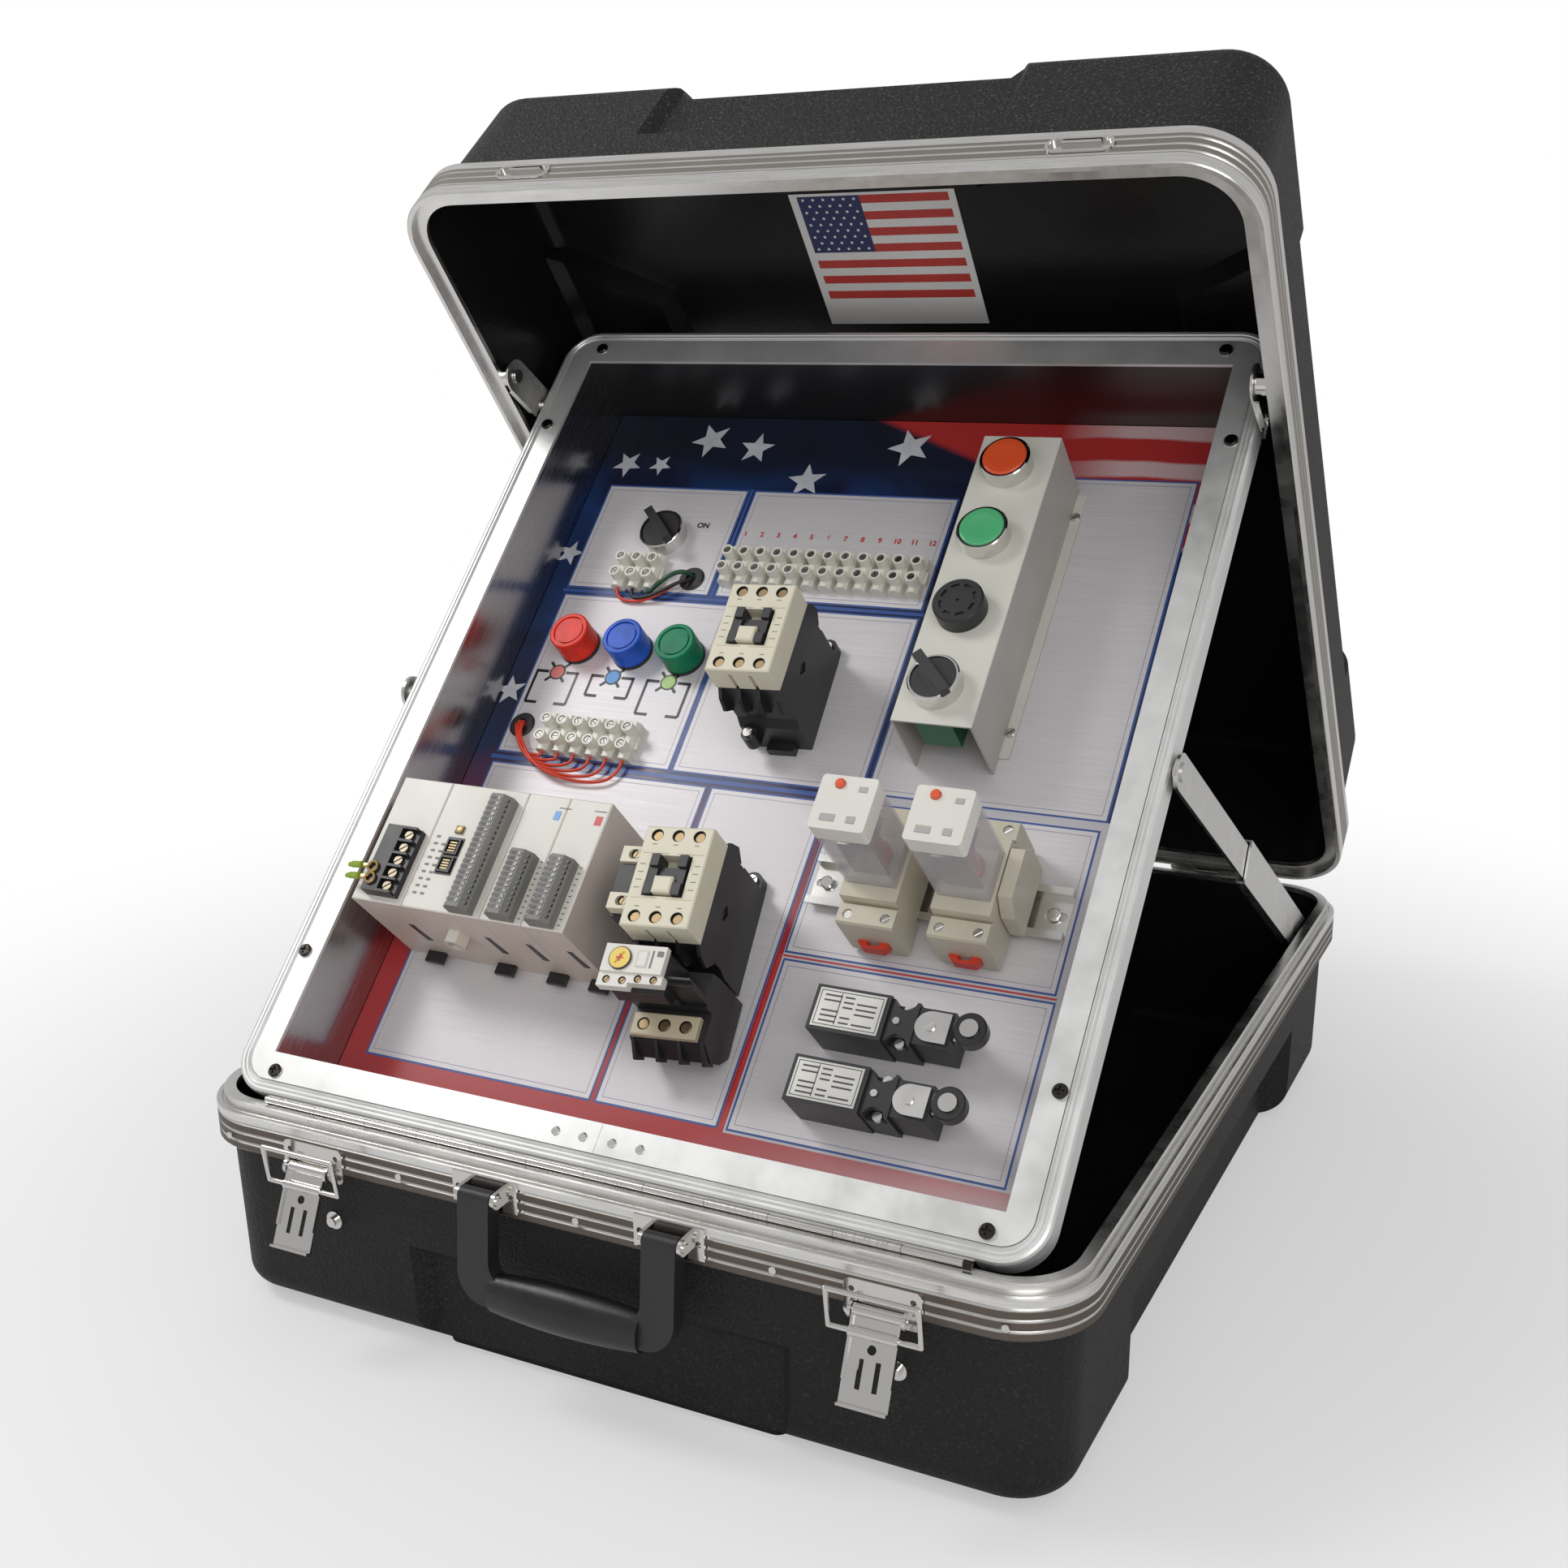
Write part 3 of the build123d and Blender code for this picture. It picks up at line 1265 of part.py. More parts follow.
def relay_button(x):
    bx, by = relay_button_offset
    low = relay_top - 4 + relay_button_travel + 0.4
    button = rod_z(x + bx, relay_row + by, low, relay_top + 2.4, relay_button_radius)
    return chamfer(button.edges().group_by(Axis.Z)[-1], 0.8)


def rail_end_bracket():
    """Beige end bracket behind the second relay."""
    x = relay_places[1] + socket_width / 2
    y = relay_row
    side = [(-19, rail_height), (-19, 30), (-12, 46), (20, 46), (27, 34), (27, rail_height)]
    return Pos(0, y, 0) * profile_x(side, x + 1.0, x + 10.0)


def limit_switch_body(row):
    """Black body with a necked part between two mounting screws, and its head."""
    x0 = limit_left
    x1 = limit_left + limit_body
    half = limit_width / 2
    body = box(x0, x1, row - half, row + half, 0, limit_height)
    neck = box(x1, limit_neck_end, row - half + 1, row + half - 1, 0, limit_height - 2)
    for side in (-1, 1):
        neck -= rod_z(x1 + 9, row + side * (half + 0.5), 22, limit_height + 1, 7.2)
    head = box(limit_neck_end, limit_head_end, row - half + 3, row + half - 3, 2, limit_head_height)
    tunnel = plunger_width / 2 + 0.4
    head -= box(limit_head_end - 10, limit_head_end + 1, row - tunnel, row + tunnel, 21.6, 28.4)
    return body + neck + head


def limit_switch_plates(row):
    """Bright parts: label plate, rounded head plate with its screw, two mounting screws."""
    x0 = limit_left + 2.5
    x1 = limit_left + limit_body - 2.5
    half = limit_width / 2
    label = box(x0, x1, row - half + 2, row + half - 2, limit_height, limit_height + 0.6)
    middle = limit_neck_end + 9.8
    plate = box(middle, limit_head_end - 1.6, row - 9.5, row + 9.5, limit_head_height, limit_head_height + 2.2)
    plate += rod_z(middle, row, limit_head_height, limit_head_height + 2.2, 9.5)
    pieces = [label, plate, slot_screw(middle, row, limit_head_height + 2.2, 3.2, 1.4)]
    pieces.append(slot_screw(limit_left + limit_body + 6, row, limit_height - 2, 2.2, 1.0))
    for side in (-1, 1):
        pieces.append(slot_screw(limit_left + limit_body + 9, row + side * (half - 3.4), 22, 3.0, 3.0))
    return pieces


def limit_plunger(row):
    """Plunger with a tongue and an upright pin for the roller."""
    half = plunger_width / 2
    x0 = limit_head_end - 10 + plunger_travel + 0.6
    tongue = box(x0, roller_place, row - half, row + half, 22, 28)
    tongue += rod_z(roller_place, row, 22, 28, half)
    tongue += rod_z(roller_place, row, 28, roller_bottom - 0.4, roller_pin + 1.6)
    tongue += rod_z(roller_place, row, roller_bottom - 1, roller_bottom + roller_height + 0.6, roller_pin)
    tongue += rod_z(roller_place, row, roller_bottom + roller_height + 0.4, roller_bottom + roller_height + 1.6, 5.6)
    return tongue


def limit_roller(row):
    low = roller_bottom
    top = roller_bottom + roller_height
    wheel = rod_z(roller_place, row, low, top, roller_radius)
    wheel = chamfer(wheel.edges(), 0.8)
    return wheel - rod_z(roller_place, row, low - 1, top + 1, roller_pin + hinge_fit)


save("base_shell", base_shell())
save("lid_shell", on_lid(lid_shell()))
save("base_valance", base_valance())
save("lid_valance", on_lid(lid_valance()))
base_hinges, hinge_pins, lid_hinges = rear_hinges()
lid_pieces = [on_lid(piece) for piece in (*lid_keepers(), *lid_hinges)]
save("lid_fittings", *lid_pieces, lid_hook_bracket(), mirrored(lid_hook_bracket()))

save_on_tray("tray_frame", tray_edge(), tray_flange())
save_on_tray("tray_tub", tray_tub())
save_on_tray("panel_plate", panel_plate())
hinge_on_base, hinge_on_tray, long_pin = long_hinge()
tray_pieces = [on_tray(piece) for piece in (*tray_screws(), *tray_rivets(), hinge_on_tray)]
save("tray_fittings", *tray_pieces)
base_pieces = [*base_hinges, *hinge_pins, hinge_on_base, long_pin]
save("base_hinges", *base_pieces, stay_base_pivot(), mirrored(stay_base_pivot()))

save("stay_channel_right", stay_channel())
save("stay_channel_left", mirrored(stay_channel()))
save("stay_arm_right", stay_arm())
save("stay_arm_left", mirrored(stay_arm()))
save("lid_hook_right", lid_hook())
save("lid_hook_left", mirrored(lid_hook()))

plates = []
for side, x in zip(("left", "right"), latch_places):
    plates.extend(latch_plate(x))
    save("latch_lever_" + side, latch_lever(x))
    save("latch_bail_" + side, latch_bail(x))
plates.extend(latch_catch(x) for x in latch_places)
for x in (-handle_half_width, handle_half_width):
    plates.extend(handle_bracket(x))
save("front_fittings", *plates, *rim_rivets())
save("handle_frame", hang_handle(handle_frame()))
save("handle_grip", hang_handle(handle_grip()))

selector_row = control_rows[3]
bezels = [bezel(power_switch[0], power_switch[1], 0)]
for row in (control_rows[0], control_rows[1], selector_row):
    bezels.append(bezel(control_column, row, box_height))
save_on_tray("control_bezels", *bezels)
save_on_tray("power_selector", selector(power_switch[0], power_switch[1], 0, power_switch_turn))
save_on_tray("control_selector", selector(control_column, selector_row, box_height, control_turn))
save_on_tray("red_button", push_button(control_column, control_rows[0], box_height))
save_on_tray("green_button", push_button(control_column, control_rows[1], box_height))
save_on_tray("buzzer", buzzer(control_column, control_rows[2], box_height))
save_on_tray("control_box", control_box())
save_on_tray("contact_blocks", *contact_blocks())

strips = [terminal_strip(strip_start, strip_ways)]
strips.append(terminal_strip(mains_start, mains_ways))
strips.append(terminal_strip(lamp_block_start, lamp_block_ways))
save_on_tray("terminal_strips", *strips)
wires = wire_set(lamp_grommet, lamp_block_start, (0, 1, 2, 3, 4, 5), 8.0)
wires += wire_set(mains_grommet, mains_start, (2, 1), 8.0)
save_on_tray("panel_wires", *wires)
for colour, place in zip(("red", "blue", "green"), lamp_places):
    save_on_tray("lamp_lens_" + colour, indicator_lamp(*place))

black = []
cream = []
bright = []
for place, turn in ((contactor_place, contactor_turn), (starter_place, starter_turn)):
    alone = place == contactor_place
    black.append(place_contactor(contactor_body(alone), place, turn))
    black.append(place_contactor(contactor_bridge(), place, turn))
    cream.append(place_contactor(contactor_cover(), place, turn))
    bright.extend(place_contactor(screw, place, turn) for screw in contactor_screws(alone))
side_body, side_faces = aux_block()
relay_body, relay_faces, low_terminals, dial, relay_screws = overload_parts()
black.append(place_contactor(side_body, starter_place, starter_turn))
cream.extend(place_contactor(face, starter_place, starter_turn) for face in side_faces)
bright.extend(place_contactor(screw, starter_place, starter_turn) for screw in relay_screws)
black.append(place_contactor(relay_body, starter_place, starter_turn))
save_on_tray("contactor_bodies", *black)
save_on_tray("contactor_covers", *cream)
save_on_tray("contactor_slider", place_contactor(contactor_slider(), contactor_place, contactor_turn))
save_on_tray("starter_slider", place_contactor(contactor_slider(), starter_place, starter_turn))
save_on_tray("overload_faces", *[place_contactor(face, starter_place, starter_turn)
                                 for face in (*relay_faces, low_terminals)])
save_on_tray("overload_dial", place_contactor(dial, starter_place, starter_turn))

plc_row = plc_front + plc_tall / 2
save_on_tray("mounting_rails", rail(*plc_rail, plc_row), rail(*relay_rail, relay_row))
save_on_tray("plc_modules", *plc_modules(), plc_knob())
save_on_tray("plc_terminals", *plc_terminals())
small_black = [*plc_black_parts(), grommet(*mains_grommet), grommet(*lamp_grommet)]
small_black.extend(lamp_collar(x, y) for x, y in lamp_places)
save_on_tray("panel_black_parts", *small_black)
save_on_tray("relay_sockets", *[relay_socket(x) for x in relay_places], rail_end_bracket())
save_on_tray("relay_clips", *[relay_clip(x) for x in relay_places])
save_on_tray("relay_housings", *[relay_housing(x) for x in relay_places])
save_on_tray("relay_caps", *[relay_cap_part(x) for x in relay_places])
for index, x in enumerate(relay_places, 1):
    save_on_tray("relay_button_" + str(index), relay_button(x))
    bright.extend(relay_socket_screws(x))
bright.extend(plc_screws())
for index, row in enumerate(limit_rows, 1):
    save_on_tray("limit_plunger_" + str(index), limit_plunger(row))
    save_on_tray("limit_roller_" + str(index), limit_roller(row))
    bright.extend(limit_switch_plates(row))
save_on_tray("limit_switch_bodies", *[limit_switch_body(row) for row in limit_rows])
save("bright_parts", *[on_tray(piece) for piece in bright], tray_stud(), mirrored(tray_stud()))
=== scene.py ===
import math

import bpy
from mathutils import Matrix, Vector


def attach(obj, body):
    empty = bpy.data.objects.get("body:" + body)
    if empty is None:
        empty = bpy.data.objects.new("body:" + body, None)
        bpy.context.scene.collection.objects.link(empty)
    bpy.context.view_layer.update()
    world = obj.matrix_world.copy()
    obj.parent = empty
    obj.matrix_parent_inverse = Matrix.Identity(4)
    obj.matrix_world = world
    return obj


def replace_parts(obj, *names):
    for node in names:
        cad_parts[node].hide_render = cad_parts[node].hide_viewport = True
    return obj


bl_info = {
    "name": "Control trainer in a carrying case",
    "version": (1, 0, 0),
    "blender": (4, 5, 0),
    "location": "View3D > Sidebar > Trainer",
    "description": "Finishes and small pieces of a teaching case with switchgear on a tilted tray",
    "category": "Object",
}

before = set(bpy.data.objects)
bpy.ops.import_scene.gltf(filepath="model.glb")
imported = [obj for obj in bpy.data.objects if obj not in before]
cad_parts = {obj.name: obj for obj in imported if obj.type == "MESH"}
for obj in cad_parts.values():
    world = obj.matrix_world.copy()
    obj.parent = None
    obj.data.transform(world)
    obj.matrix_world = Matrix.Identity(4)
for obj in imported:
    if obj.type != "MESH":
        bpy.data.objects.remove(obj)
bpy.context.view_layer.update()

MM = 0.001

# Places of the tray and the lid, in millimetres and radians
TRAY_HINGE_Y = -340.0
TRAY_HINGE_Z = 148.4
TRAY_TILT = math.radians(45.1)
TRAY_RECESS = 63.5
LID_HINGE_Y = 357.5
RIM_PLANE = 146.0
LID_OPEN = math.radians(52.3)
LID_HEIGHT = 130.0
LID_WALL = 4.0

TRAY = (
    Matrix.Translation((0, TRAY_HINGE_Y * MM, TRAY_HINGE_Z * MM))
    @ Matrix.Rotation(TRAY_TILT, 4, "X")
    @ Matrix.Translation((0, 0, -TRAY_RECESS * MM))
)
LID = (
    Matrix.Translation((0, LID_HINGE_Y * MM, RIM_PLANE * MM))
    @ Matrix.Rotation(-LID_OPEN, 4, "X")
    @ Matrix.Translation((0, -LID_HINGE_Y * MM, -RIM_PLANE * MM))
)
TRAY_NORMAL = (0.0, -math.sin(TRAY_TILT), math.cos(TRAY_TILT))
TRAY_DOWN = (0.0, -math.cos(TRAY_TILT), -math.sin(TRAY_TILT))

# Printed fields of the panel: left, right, bottom and top edge
PRINTED_FIELDS = {
    "power": (-233, -110, 447, 545),
    "terminals": (-105, 60, 447, 545),
    "lamps": (-232, -87, 300, 441),
    "contactor": (-85, 60, 300, 441),
    "controls": (63, 228, 300, 567),
    "controller": (-232, -53, 60, 292),
    "starter": (-50, 39, 60, 292),
    "relays": (44, 225, 181, 294),
    "switches": (45, 226, 60, 177),
}

# Printed stars: across, up, radius and turn
STARS = (
    (-160, 592, 17, 100), (-118, 585, 15, 70), (8, 590, 18, 95), (-66, 556, 16, 80), (-226, 566, 13, 110),
    (-243, 478, 12, 60), (-243, 352, 13, 85), (-196, 566, 10, 40),
)

# Lamp signs: across, half width, drop and ink
SIGN_ROW = 371
LAMP_SIGNS = ((-209, 17.5, 27, "pink_ink"), (-161, 17.5, 17, "sky_ink"), (-114, 17.5, 28, "lime_ink"))

# Devices on the panel: strips by left end, row and ways, contactors by place and turn
TERMINAL_PITCH = 13.6
TERMINAL_STRIPS = ((-105.5, 471.5, 12), (-192.5, 461.0, 3), (-197.5, 316.5, 6))
CONTROLLER_FRONT = 137.5
CONTROLLER_TOP = 82.0
MODULE_STRIPS = ((-151.0, 221.0, 20), (-119.3, 184.5, 11), (-89.3, 184.5, 11))
CONTACTORS = ((-9.2, 364.8, 2.5), (-1.7, 181.3, 4.8))
POLE_PITCH = 14.5
COVER_TOP = 92.0
RELAYS = (109.0, 169.2)
RELAY_ROW = 232
RELAY_CAP_TOP = 117.2
LIMIT_ROWS = (136.9, 91.0)
finishes = {}
groups = {}


# Settings that a user would change
def colour_setting(name, description, default):
    return bpy.props.FloatVectorProperty(
        name=name, description=description, subtype="COLOR", size=3, min=0, max=1, default=default)


class CaseSettings(bpy.types.PropertyGroup):
    moulding_colour: colour_setting("Moulding colour", "Colour of the moulded case halves", (0.0055, 0.005, 0.005))
    pebble_size: bpy.props.FloatProperty(
        name="Pebble size", description="Width of one pebble of the moulded grain",
        default=0.0022, min=0.0005, unit="LENGTH")
    rim_colour: colour_setting("Rim colour", "Colour of the ribbed aluminium rims", (0.80, 0.79, 0.77))
    tray_colour: colour_setting("Tray colour", "Colour of the tray's aluminium frame", (0.80, 0.80, 0.79))


class PanelSettings(bpy.types.PropertyGroup):
    silver: colour_setting("Field colour", "Colour of the brushed printed fields", (0.74, 0.71, 0.73))
    navy: colour_setting("Dark ground", "Darkest colour of the printed ground", (0.012, 0.016, 0.045))
    blue: colour_setting("Blue ink", "Colour of the outlines round the fields", (0.05, 0.11, 0.36))
    red: colour_setting("Red ink", "Colour of the red bands", (0.48, 0.035, 0.04))
    ink_height: bpy.props.FloatProperty(
        name="Foil thickness", description="How far the printed foil stands above the plate",
        default=0.0002, min=0.00005, unit="LENGTH")
    outline: bpy.props.FloatProperty(
        name="Outline width", description="Width of the blue outline of a field",
        default=0.0014, min=0.0002, unit="LENGTH")


class StageSettings(bpy.types.PropertyGroup):
    focal_length: bpy.props.FloatProperty(
        name="Focal length", description="Focal length on a 36 mm wide sensor", default=42.35, min=10)
    key_power: bpy.props.FloatProperty(
        name="Key light", description="Power of the soft light from the upper left",
        default=17.0, min=0, subtype="POWER")
    ambient: bpy.props.FloatProperty(
        name="Ambient level", description="Strength of the even light from all round", default=0.5, min=0)
    floor_colour: colour_setting("Floor colour", "Colour of the plain floor", (0.88, 0.88, 0.88))


# Making and placing pieces
def clear_selection():
    """Leaves nothing selected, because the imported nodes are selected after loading."""
    if bpy.context.object and bpy.context.object.mode != "OBJECT":
        bpy.ops.object.mode_set(mode="OBJECT")
    bpy.ops.object.select_all(action="DESELECT")


def make_active(piece):
    clear_selection()
    piece.select_set(True)
    bpy.context.view_layer.objects.active = piece


def apply_place(piece):
    make_active(piece)
    bpy.ops.object.transform_apply(location=True, rotation=True, scale=True)
    return piece


def block(name, low, high):
    """A block between two corners given in millimetres, with its place in its mesh."""
    clear_selection()
    bpy.ops.mesh.primitive_cube_add(size=1, location=[(a + b) / 2 * MM for a, b in zip(low, high)])
    piece = bpy.context.object
    piece.name = name
    piece.scale = [(b - a) * MM for a, b in zip(low, high)]
    return apply_place(piece)


def blocks(name, *corners):
    """Like blocks, each given as left, near, low, right, far and high."""
    return [block(name, corner[:3], corner[3:]) for corner in corners]


def post(name, x, y, low, high, radius, sides=24):
    """An upright round piece, sizes in millimetres."""
    clear_selection()
    bpy.ops.mesh.primitive_cylinder_add(
        vertices=sides, radius=radius * MM, depth=(high - low) * MM, location=(x * MM, y * MM, (low + high) / 2 * MM))
    piece = bpy.context.object
    piece.name = name
    return apply_place(piece)


def facing_up(centre, normal):
    return normal.z > 0.9


def pick_faces(piece, test=facing_up):
    """Edit mode with only those faces selected whose centre and normal pass the test."""
    make_active(piece)
    bpy.context.tool_settings.mesh_select_mode = (False, False, True)
    for part in (piece.data.vertices, piece.data.edges):
        for item in part:
            item.select = False
    for face in piece.data.polygons:
        face.select = bool(test(face.center, face.normal))
    bpy.ops.object.mode_set(mode="EDIT")


def leave_edit():
    bpy.ops.object.mode_set(mode="OBJECT")


def inset(thickness, depth=0.0):
    """Insets the picked faces, sizes in metres."""
    bpy.ops.mesh.inset(thickness=thickness, depth=depth)


def extrude(x, y, z):
    """Draws the picked faces out, sizes in metres."""
    bpy.ops.mesh.extrude_region_move(TRANSFORM_OT_translate={"value": (x, y, z)})


def round_edges(piece, width, segments=2):
    """A bevel on the sharp edges, applied."""
    make_active(piece)
    bevel = piece.modifiers.new("rounded", "BEVEL")
    bevel.width = width * MM
    bevel.segments = segments
    bevel.limit_method = "ANGLE"
    bevel.angle_limit = math.radians(40)
    bpy.ops.object.modifier_apply(modifier=bevel.name)
    bpy.ops.object.shade_smooth_by_angle(angle=math.radians(35))
    return piece


def joined(pieces):
    clear_selection()
    for piece in pieces:
        piece.select_set(True)
    bpy.context.view_layer.objects.active = pieces[0]
    if len(pieces) > 1:
        bpy.ops.object.join()
    return bpy.context.object


def settle(pieces, finish=None, place=TRAY, body="tray"):
    """Joins finished pieces, gives them their finish and puts them where their body is."""
    piece = joined(pieces)
    if finish:
        piece.data.materials.clear()
        piece.data.materials.append(finishes[finish])
    piece.matrix_world = place @ piece.matrix_world
    apply_place(piece)
    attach(piece, body)
    return piece


def ink_selected(piece, index):
    """Gives the selected faces one of the piece's materials."""
    piece.active_material_index = index
    bpy.ops.object.material_slot_assign()


def label(name, text, x, y, height, size):
    """Raised figures as a mesh, flat on the panel."""
    clear_selection()
    bpy.ops.object.text_add(location=(x * MM, y * MM, height * MM))
    words = bpy.context.object
    words.name = name
    words.data.body = text
    words.data.size = size * MM
    words.data.align_x = "CENTER"
    words.data.align_y = "CENTER"
    words.data.extrude = 0.04 * MM
    words.data.offset = size * 0.035 * MM
    bpy.ops.object.convert(target="MESH")
    return apply_place(bpy.context.object)


# Shader nodes
def feed(tree, socket, value):
    """Links a socket to another one, or sets its value. A colour may come without alpha."""
    if isinstance(value, bpy.types.NodeSocket):
        tree.links.new(value, socket)
    elif socket.type == "RGBA":
        socket.default_value = list(value[:3]) + [1.0]
    else:
        socket.default_value = value


def node(tree, kind, **values):
    """A shader node. A key that starts with in_ names one of its inputs."""
    made = tree.nodes.new("ShaderNode" + kind)
    for key, value in values.items():
        if key.startswith("in_"):
            name = key[3:].replace("_", " ")
            feed(tree, made.inputs[int(name) if name.isdigit() else name], value)
        else:
            setattr(made, key, value)
    return made


def calculate(tree, operation, *values, kind="Math", output=0):
    """The result of one sum on values or sockets."""
    made = node(tree, kind, operation=operation)
    for socket, value in zip(made.inputs, values):
        feed(tree, socket, value)
    return made.outputs[output]


def dot_product(tree, first, second):
    return calculate(tree, "DOT_PRODUCT", first, second, kind="VectorMath", output=1)


def between(tree, value, low, high):
    """One where a value lies between two limits."""
    over = calculate(tree, "GREATER_THAN", value, low)
    return calculate(tree, "MULTIPLY", over, calculate(tree, "LESS_THAN", value, high))


def remap(tree, value, low, high, start=0.3, end=0.7, smooth=False):
    """Spreads a value between two limits."""
    return node(
        tree, "MapRange", clamp=True, interpolation_type="SMOOTHSTEP" if smooth else "LINEAR", in_Value=value,
        in_From_Min=start, in_From_Max=end, in_To_Min=low, in_To_Max=high).outputs[0]


def mix_value(tree, factor, first, second):
    return node(tree, "Mix", data_type="FLOAT", in_0=factor, in_2=first, in_3=second).outputs[0]


def mix_colour(tree, factor, first, second):
    return node(tree, "Mix", data_type="RGBA", in_0=factor, in_6=first, in_7=second).outputs[2]


def shades(colour, spread):
    """A darker and a lighter neighbour of a colour."""
    darker = [max(0.0, value * (1 - spread)) for value in colour[:3]]
    return darker, [min(1.0, value * (1 + spread)) for value in colour[:3]]


# Shader groups that the finishes share
def open_group(name, outputs, **inputs):
    """A new group: its tree, the sockets of its inputs and the object's own coordinates."""
    tree = bpy.data.node_groups.new(name, "ShaderNodeTree")
    for title, default in inputs.items():
        kind = "NodeSocketFloat" if isinstance(default, float) else "NodeSocketVector"
        socket = tree.interface.new_socket(title.replace("_", " "), in_out="INPUT", socket_type=kind)
        socket.default_value = default
    for title in outputs:
        kind = "NodeSocketVector" if title == "Place" else "NodeSocketFloat"
        tree.interface.new_socket(title, in_out="OUTPUT", socket_type=kind)
    return tree, tree.nodes.new("NodeGroupInput").outputs, node(tree, "TexCoord").outputs


def close_group(tree, **results):
    """Puts the results out of a group."""
    end = tree.nodes.new("NodeGroupOutput")
    for title, value in results.items():
        tree.links.new(value, end.inputs[title])
    return tree


def build_pebble_group():
    """Moulded pebble grain: rounded cells of two sizes."""
    tree, start, place = open_group("pebble_grain", ("Height", "Shade"), Pebbles_per_metre=450.0)
    cells = node(tree, "TexVoronoi", feature="SMOOTH_F1", in_Smoothness=0.5, in_Vector=place["Object"],
                 in_Scale=start[0])
    fine = node(tree, "TexNoise", in_Detail=4.0, in_Roughness=0.6, in_Vector=place["Object"],
                in_Scale=calculate(tree, "MULTIPLY", start[0], 1.15)).outputs["Fac"]
    return close_group(tree, Height=calculate(tree, "MULTIPLY_ADD", cells.outputs["Distance"], -0.8, fine), Shade=fine)


def build_brushed_group():
    """Fine lines drawn along one direction."""
    tree, start, place = open_group("brushed_lines", ("Lines",), Stretch=(20.0, 1500.0, 1500.0), Turn=(0, 0, 0))
    turned = node(tree, "Mapping", vector_type="POINT", in_Vector=place["Object"], in_Rotation=start["Turn"])
    drawn = calculate(tree, "MULTIPLY", turned.outputs[0], start["Stretch"], kind="VectorMath")
    lines = node(tree, "TexNoise", in_Scale=1.0, in_Detail=3.0, in_Roughness=0.65, in_Vector=drawn)
    return close_group(tree, Lines=lines.outputs["Fac"])


def build_handling_group():
    """Broad smudges and fine dust from handling."""
    tree, start, place = open_group(
        "handling_marks", ("Smudge", "Dust"), Patches_per_metre=9.0, Dust_per_metre=220.0)
    broad = node(tree, "TexNoise", in_Detail=3.0, in_Roughness=0.55, in_Distortion=0.4, in_Vector=place["Object"],
                 in_Scale=start[0])
    dust = node(tree, "TexNoise", in_Detail=5.0, in_Roughness=0.7, in_Vector=place["Object"], in_Scale=start[1])
    return close_group(tree, Smudge=broad.outputs["Fac"], Dust=dust.outputs["Fac"])


def build_facing_group():
    """How far a face points along a direction, as a sharp mask."""
    tree, start, place = open_group("facing_mask", ("Mask",), Direction=TRAY_NORMAL, Limit=0.7)
    along = dot_product(tree, place["Normal"], start["Direction"])
    return close_group(tree, Mask=calculate(tree, "GREATER_THAN", along, start["Limit"]))


def build_inside_group():
    """Marks the faces of a hollow moulding that look towards its middle."""
    tree, start, place = open_group("inner_side", ("Mask",), Middle=(0, 0, 0))
    away = calculate(tree, "SUBTRACT", place["Object"], start["Middle"], kind="VectorMath")
    return close_group(tree, Mask=calculate(tree, "LESS_THAN", dot_product(tree, away, place["Normal"]), 0.0))


def build_panel_place_group():
    """Place on the panel: across, up from the hinge, and height above the plate."""
    tree, start, place = open_group("panel_place", ("Across", "Up", "Height", "Place"))
    turned = node(tree, "Mapping", vector_type="POINT", in_Vector=place["Object"], in_Rotation=(-TRAY_TILT, 0, 0),
                  in_Location=TRAY.inverted().to_translation()).outputs[0]
    parts = node(tree, "SeparateXYZ", in_0=turned).outputs
    return close_group(tree, Across=parts[0], Up=parts[1], Height=parts[2], Place=turned)


def build_rim_groove_shade_group():
    """Painted shade and dark reflection in the grooves between the fine ribs of a rim, worked out from the height over
    the rim plane.
    """
    tree, start, place = open_group(
        "rim_groove_shade", ("Mask",), Turn=(0, 0, 0), Move=(0, 0, 0), First_groove=0.1336, Pitch=0.0064, Low=0.1155,
        High=0.1330)
    turned = node(tree, "VectorRotate", rotation_type="EULER_XYZ", in_Vector=place["Object"],
                  in_Rotation=start["Turn"])
    moved = calculate(tree, "ADD", turned.outputs[0], start["Move"], kind="VectorMath")
    height = node(tree, "SeparateXYZ", in_0=moved).outputs[2]
    share = calculate(tree, "DIVIDE", calculate(tree, "SUBTRACT", height, start["First groove"]), start["Pitch"])
    line = remap(tree, calculate(tree, "PINGPONG", share, 0.5), 0.0, 1.0, 0.10, 0.17)
    band = between(tree, height, start["Low"], start["High"])
    return close_group(tree, Mask=calculate(tree, "MULTIPLY", band, line))


def build_groups():
    groups["rim"] = build_rim_groove_shade_group()
    groups["pebble"] = build_pebble_group()
    groups["brushed"] = build_brushed_group()
    groups["handling"] = build_handling_group()
    groups["facing"] = build_facing_group()
    groups["inside"] = build_inside_group()
    groups["panel"] = build_panel_place_group()


def use_group(tree, name, **values):
    """One of the shared groups with this finish's own values. Gives its outputs."""
    made = node(tree, "Group", node_tree=groups[name])
    for key, value in values.items():
        made.inputs[key.replace("_", " ")].default_value = value
    return made.outputs


# Finishes
def finish_tree(name, **values):
    """A new material with constants on its shader's own sockets."""
    material = bpy.data.materials.new(name)
    material.use_nodes = True
    finishes[name] = material
    feed_shader(material.node_tree, **values)
    return material.node_tree


def feed_shader(tree, **values):
    for key, value in values.items():
        feed(tree, tree.nodes["Principled BSDF"].inputs[key.replace("_", " ")], value)


def bump(tree, height, strength, distance):
    raised = node(tree, "Bump", in_Strength=strength, in_Distance=distance, in_Height=height)
    feed_shader(tree, Normal=raised.outputs[0])


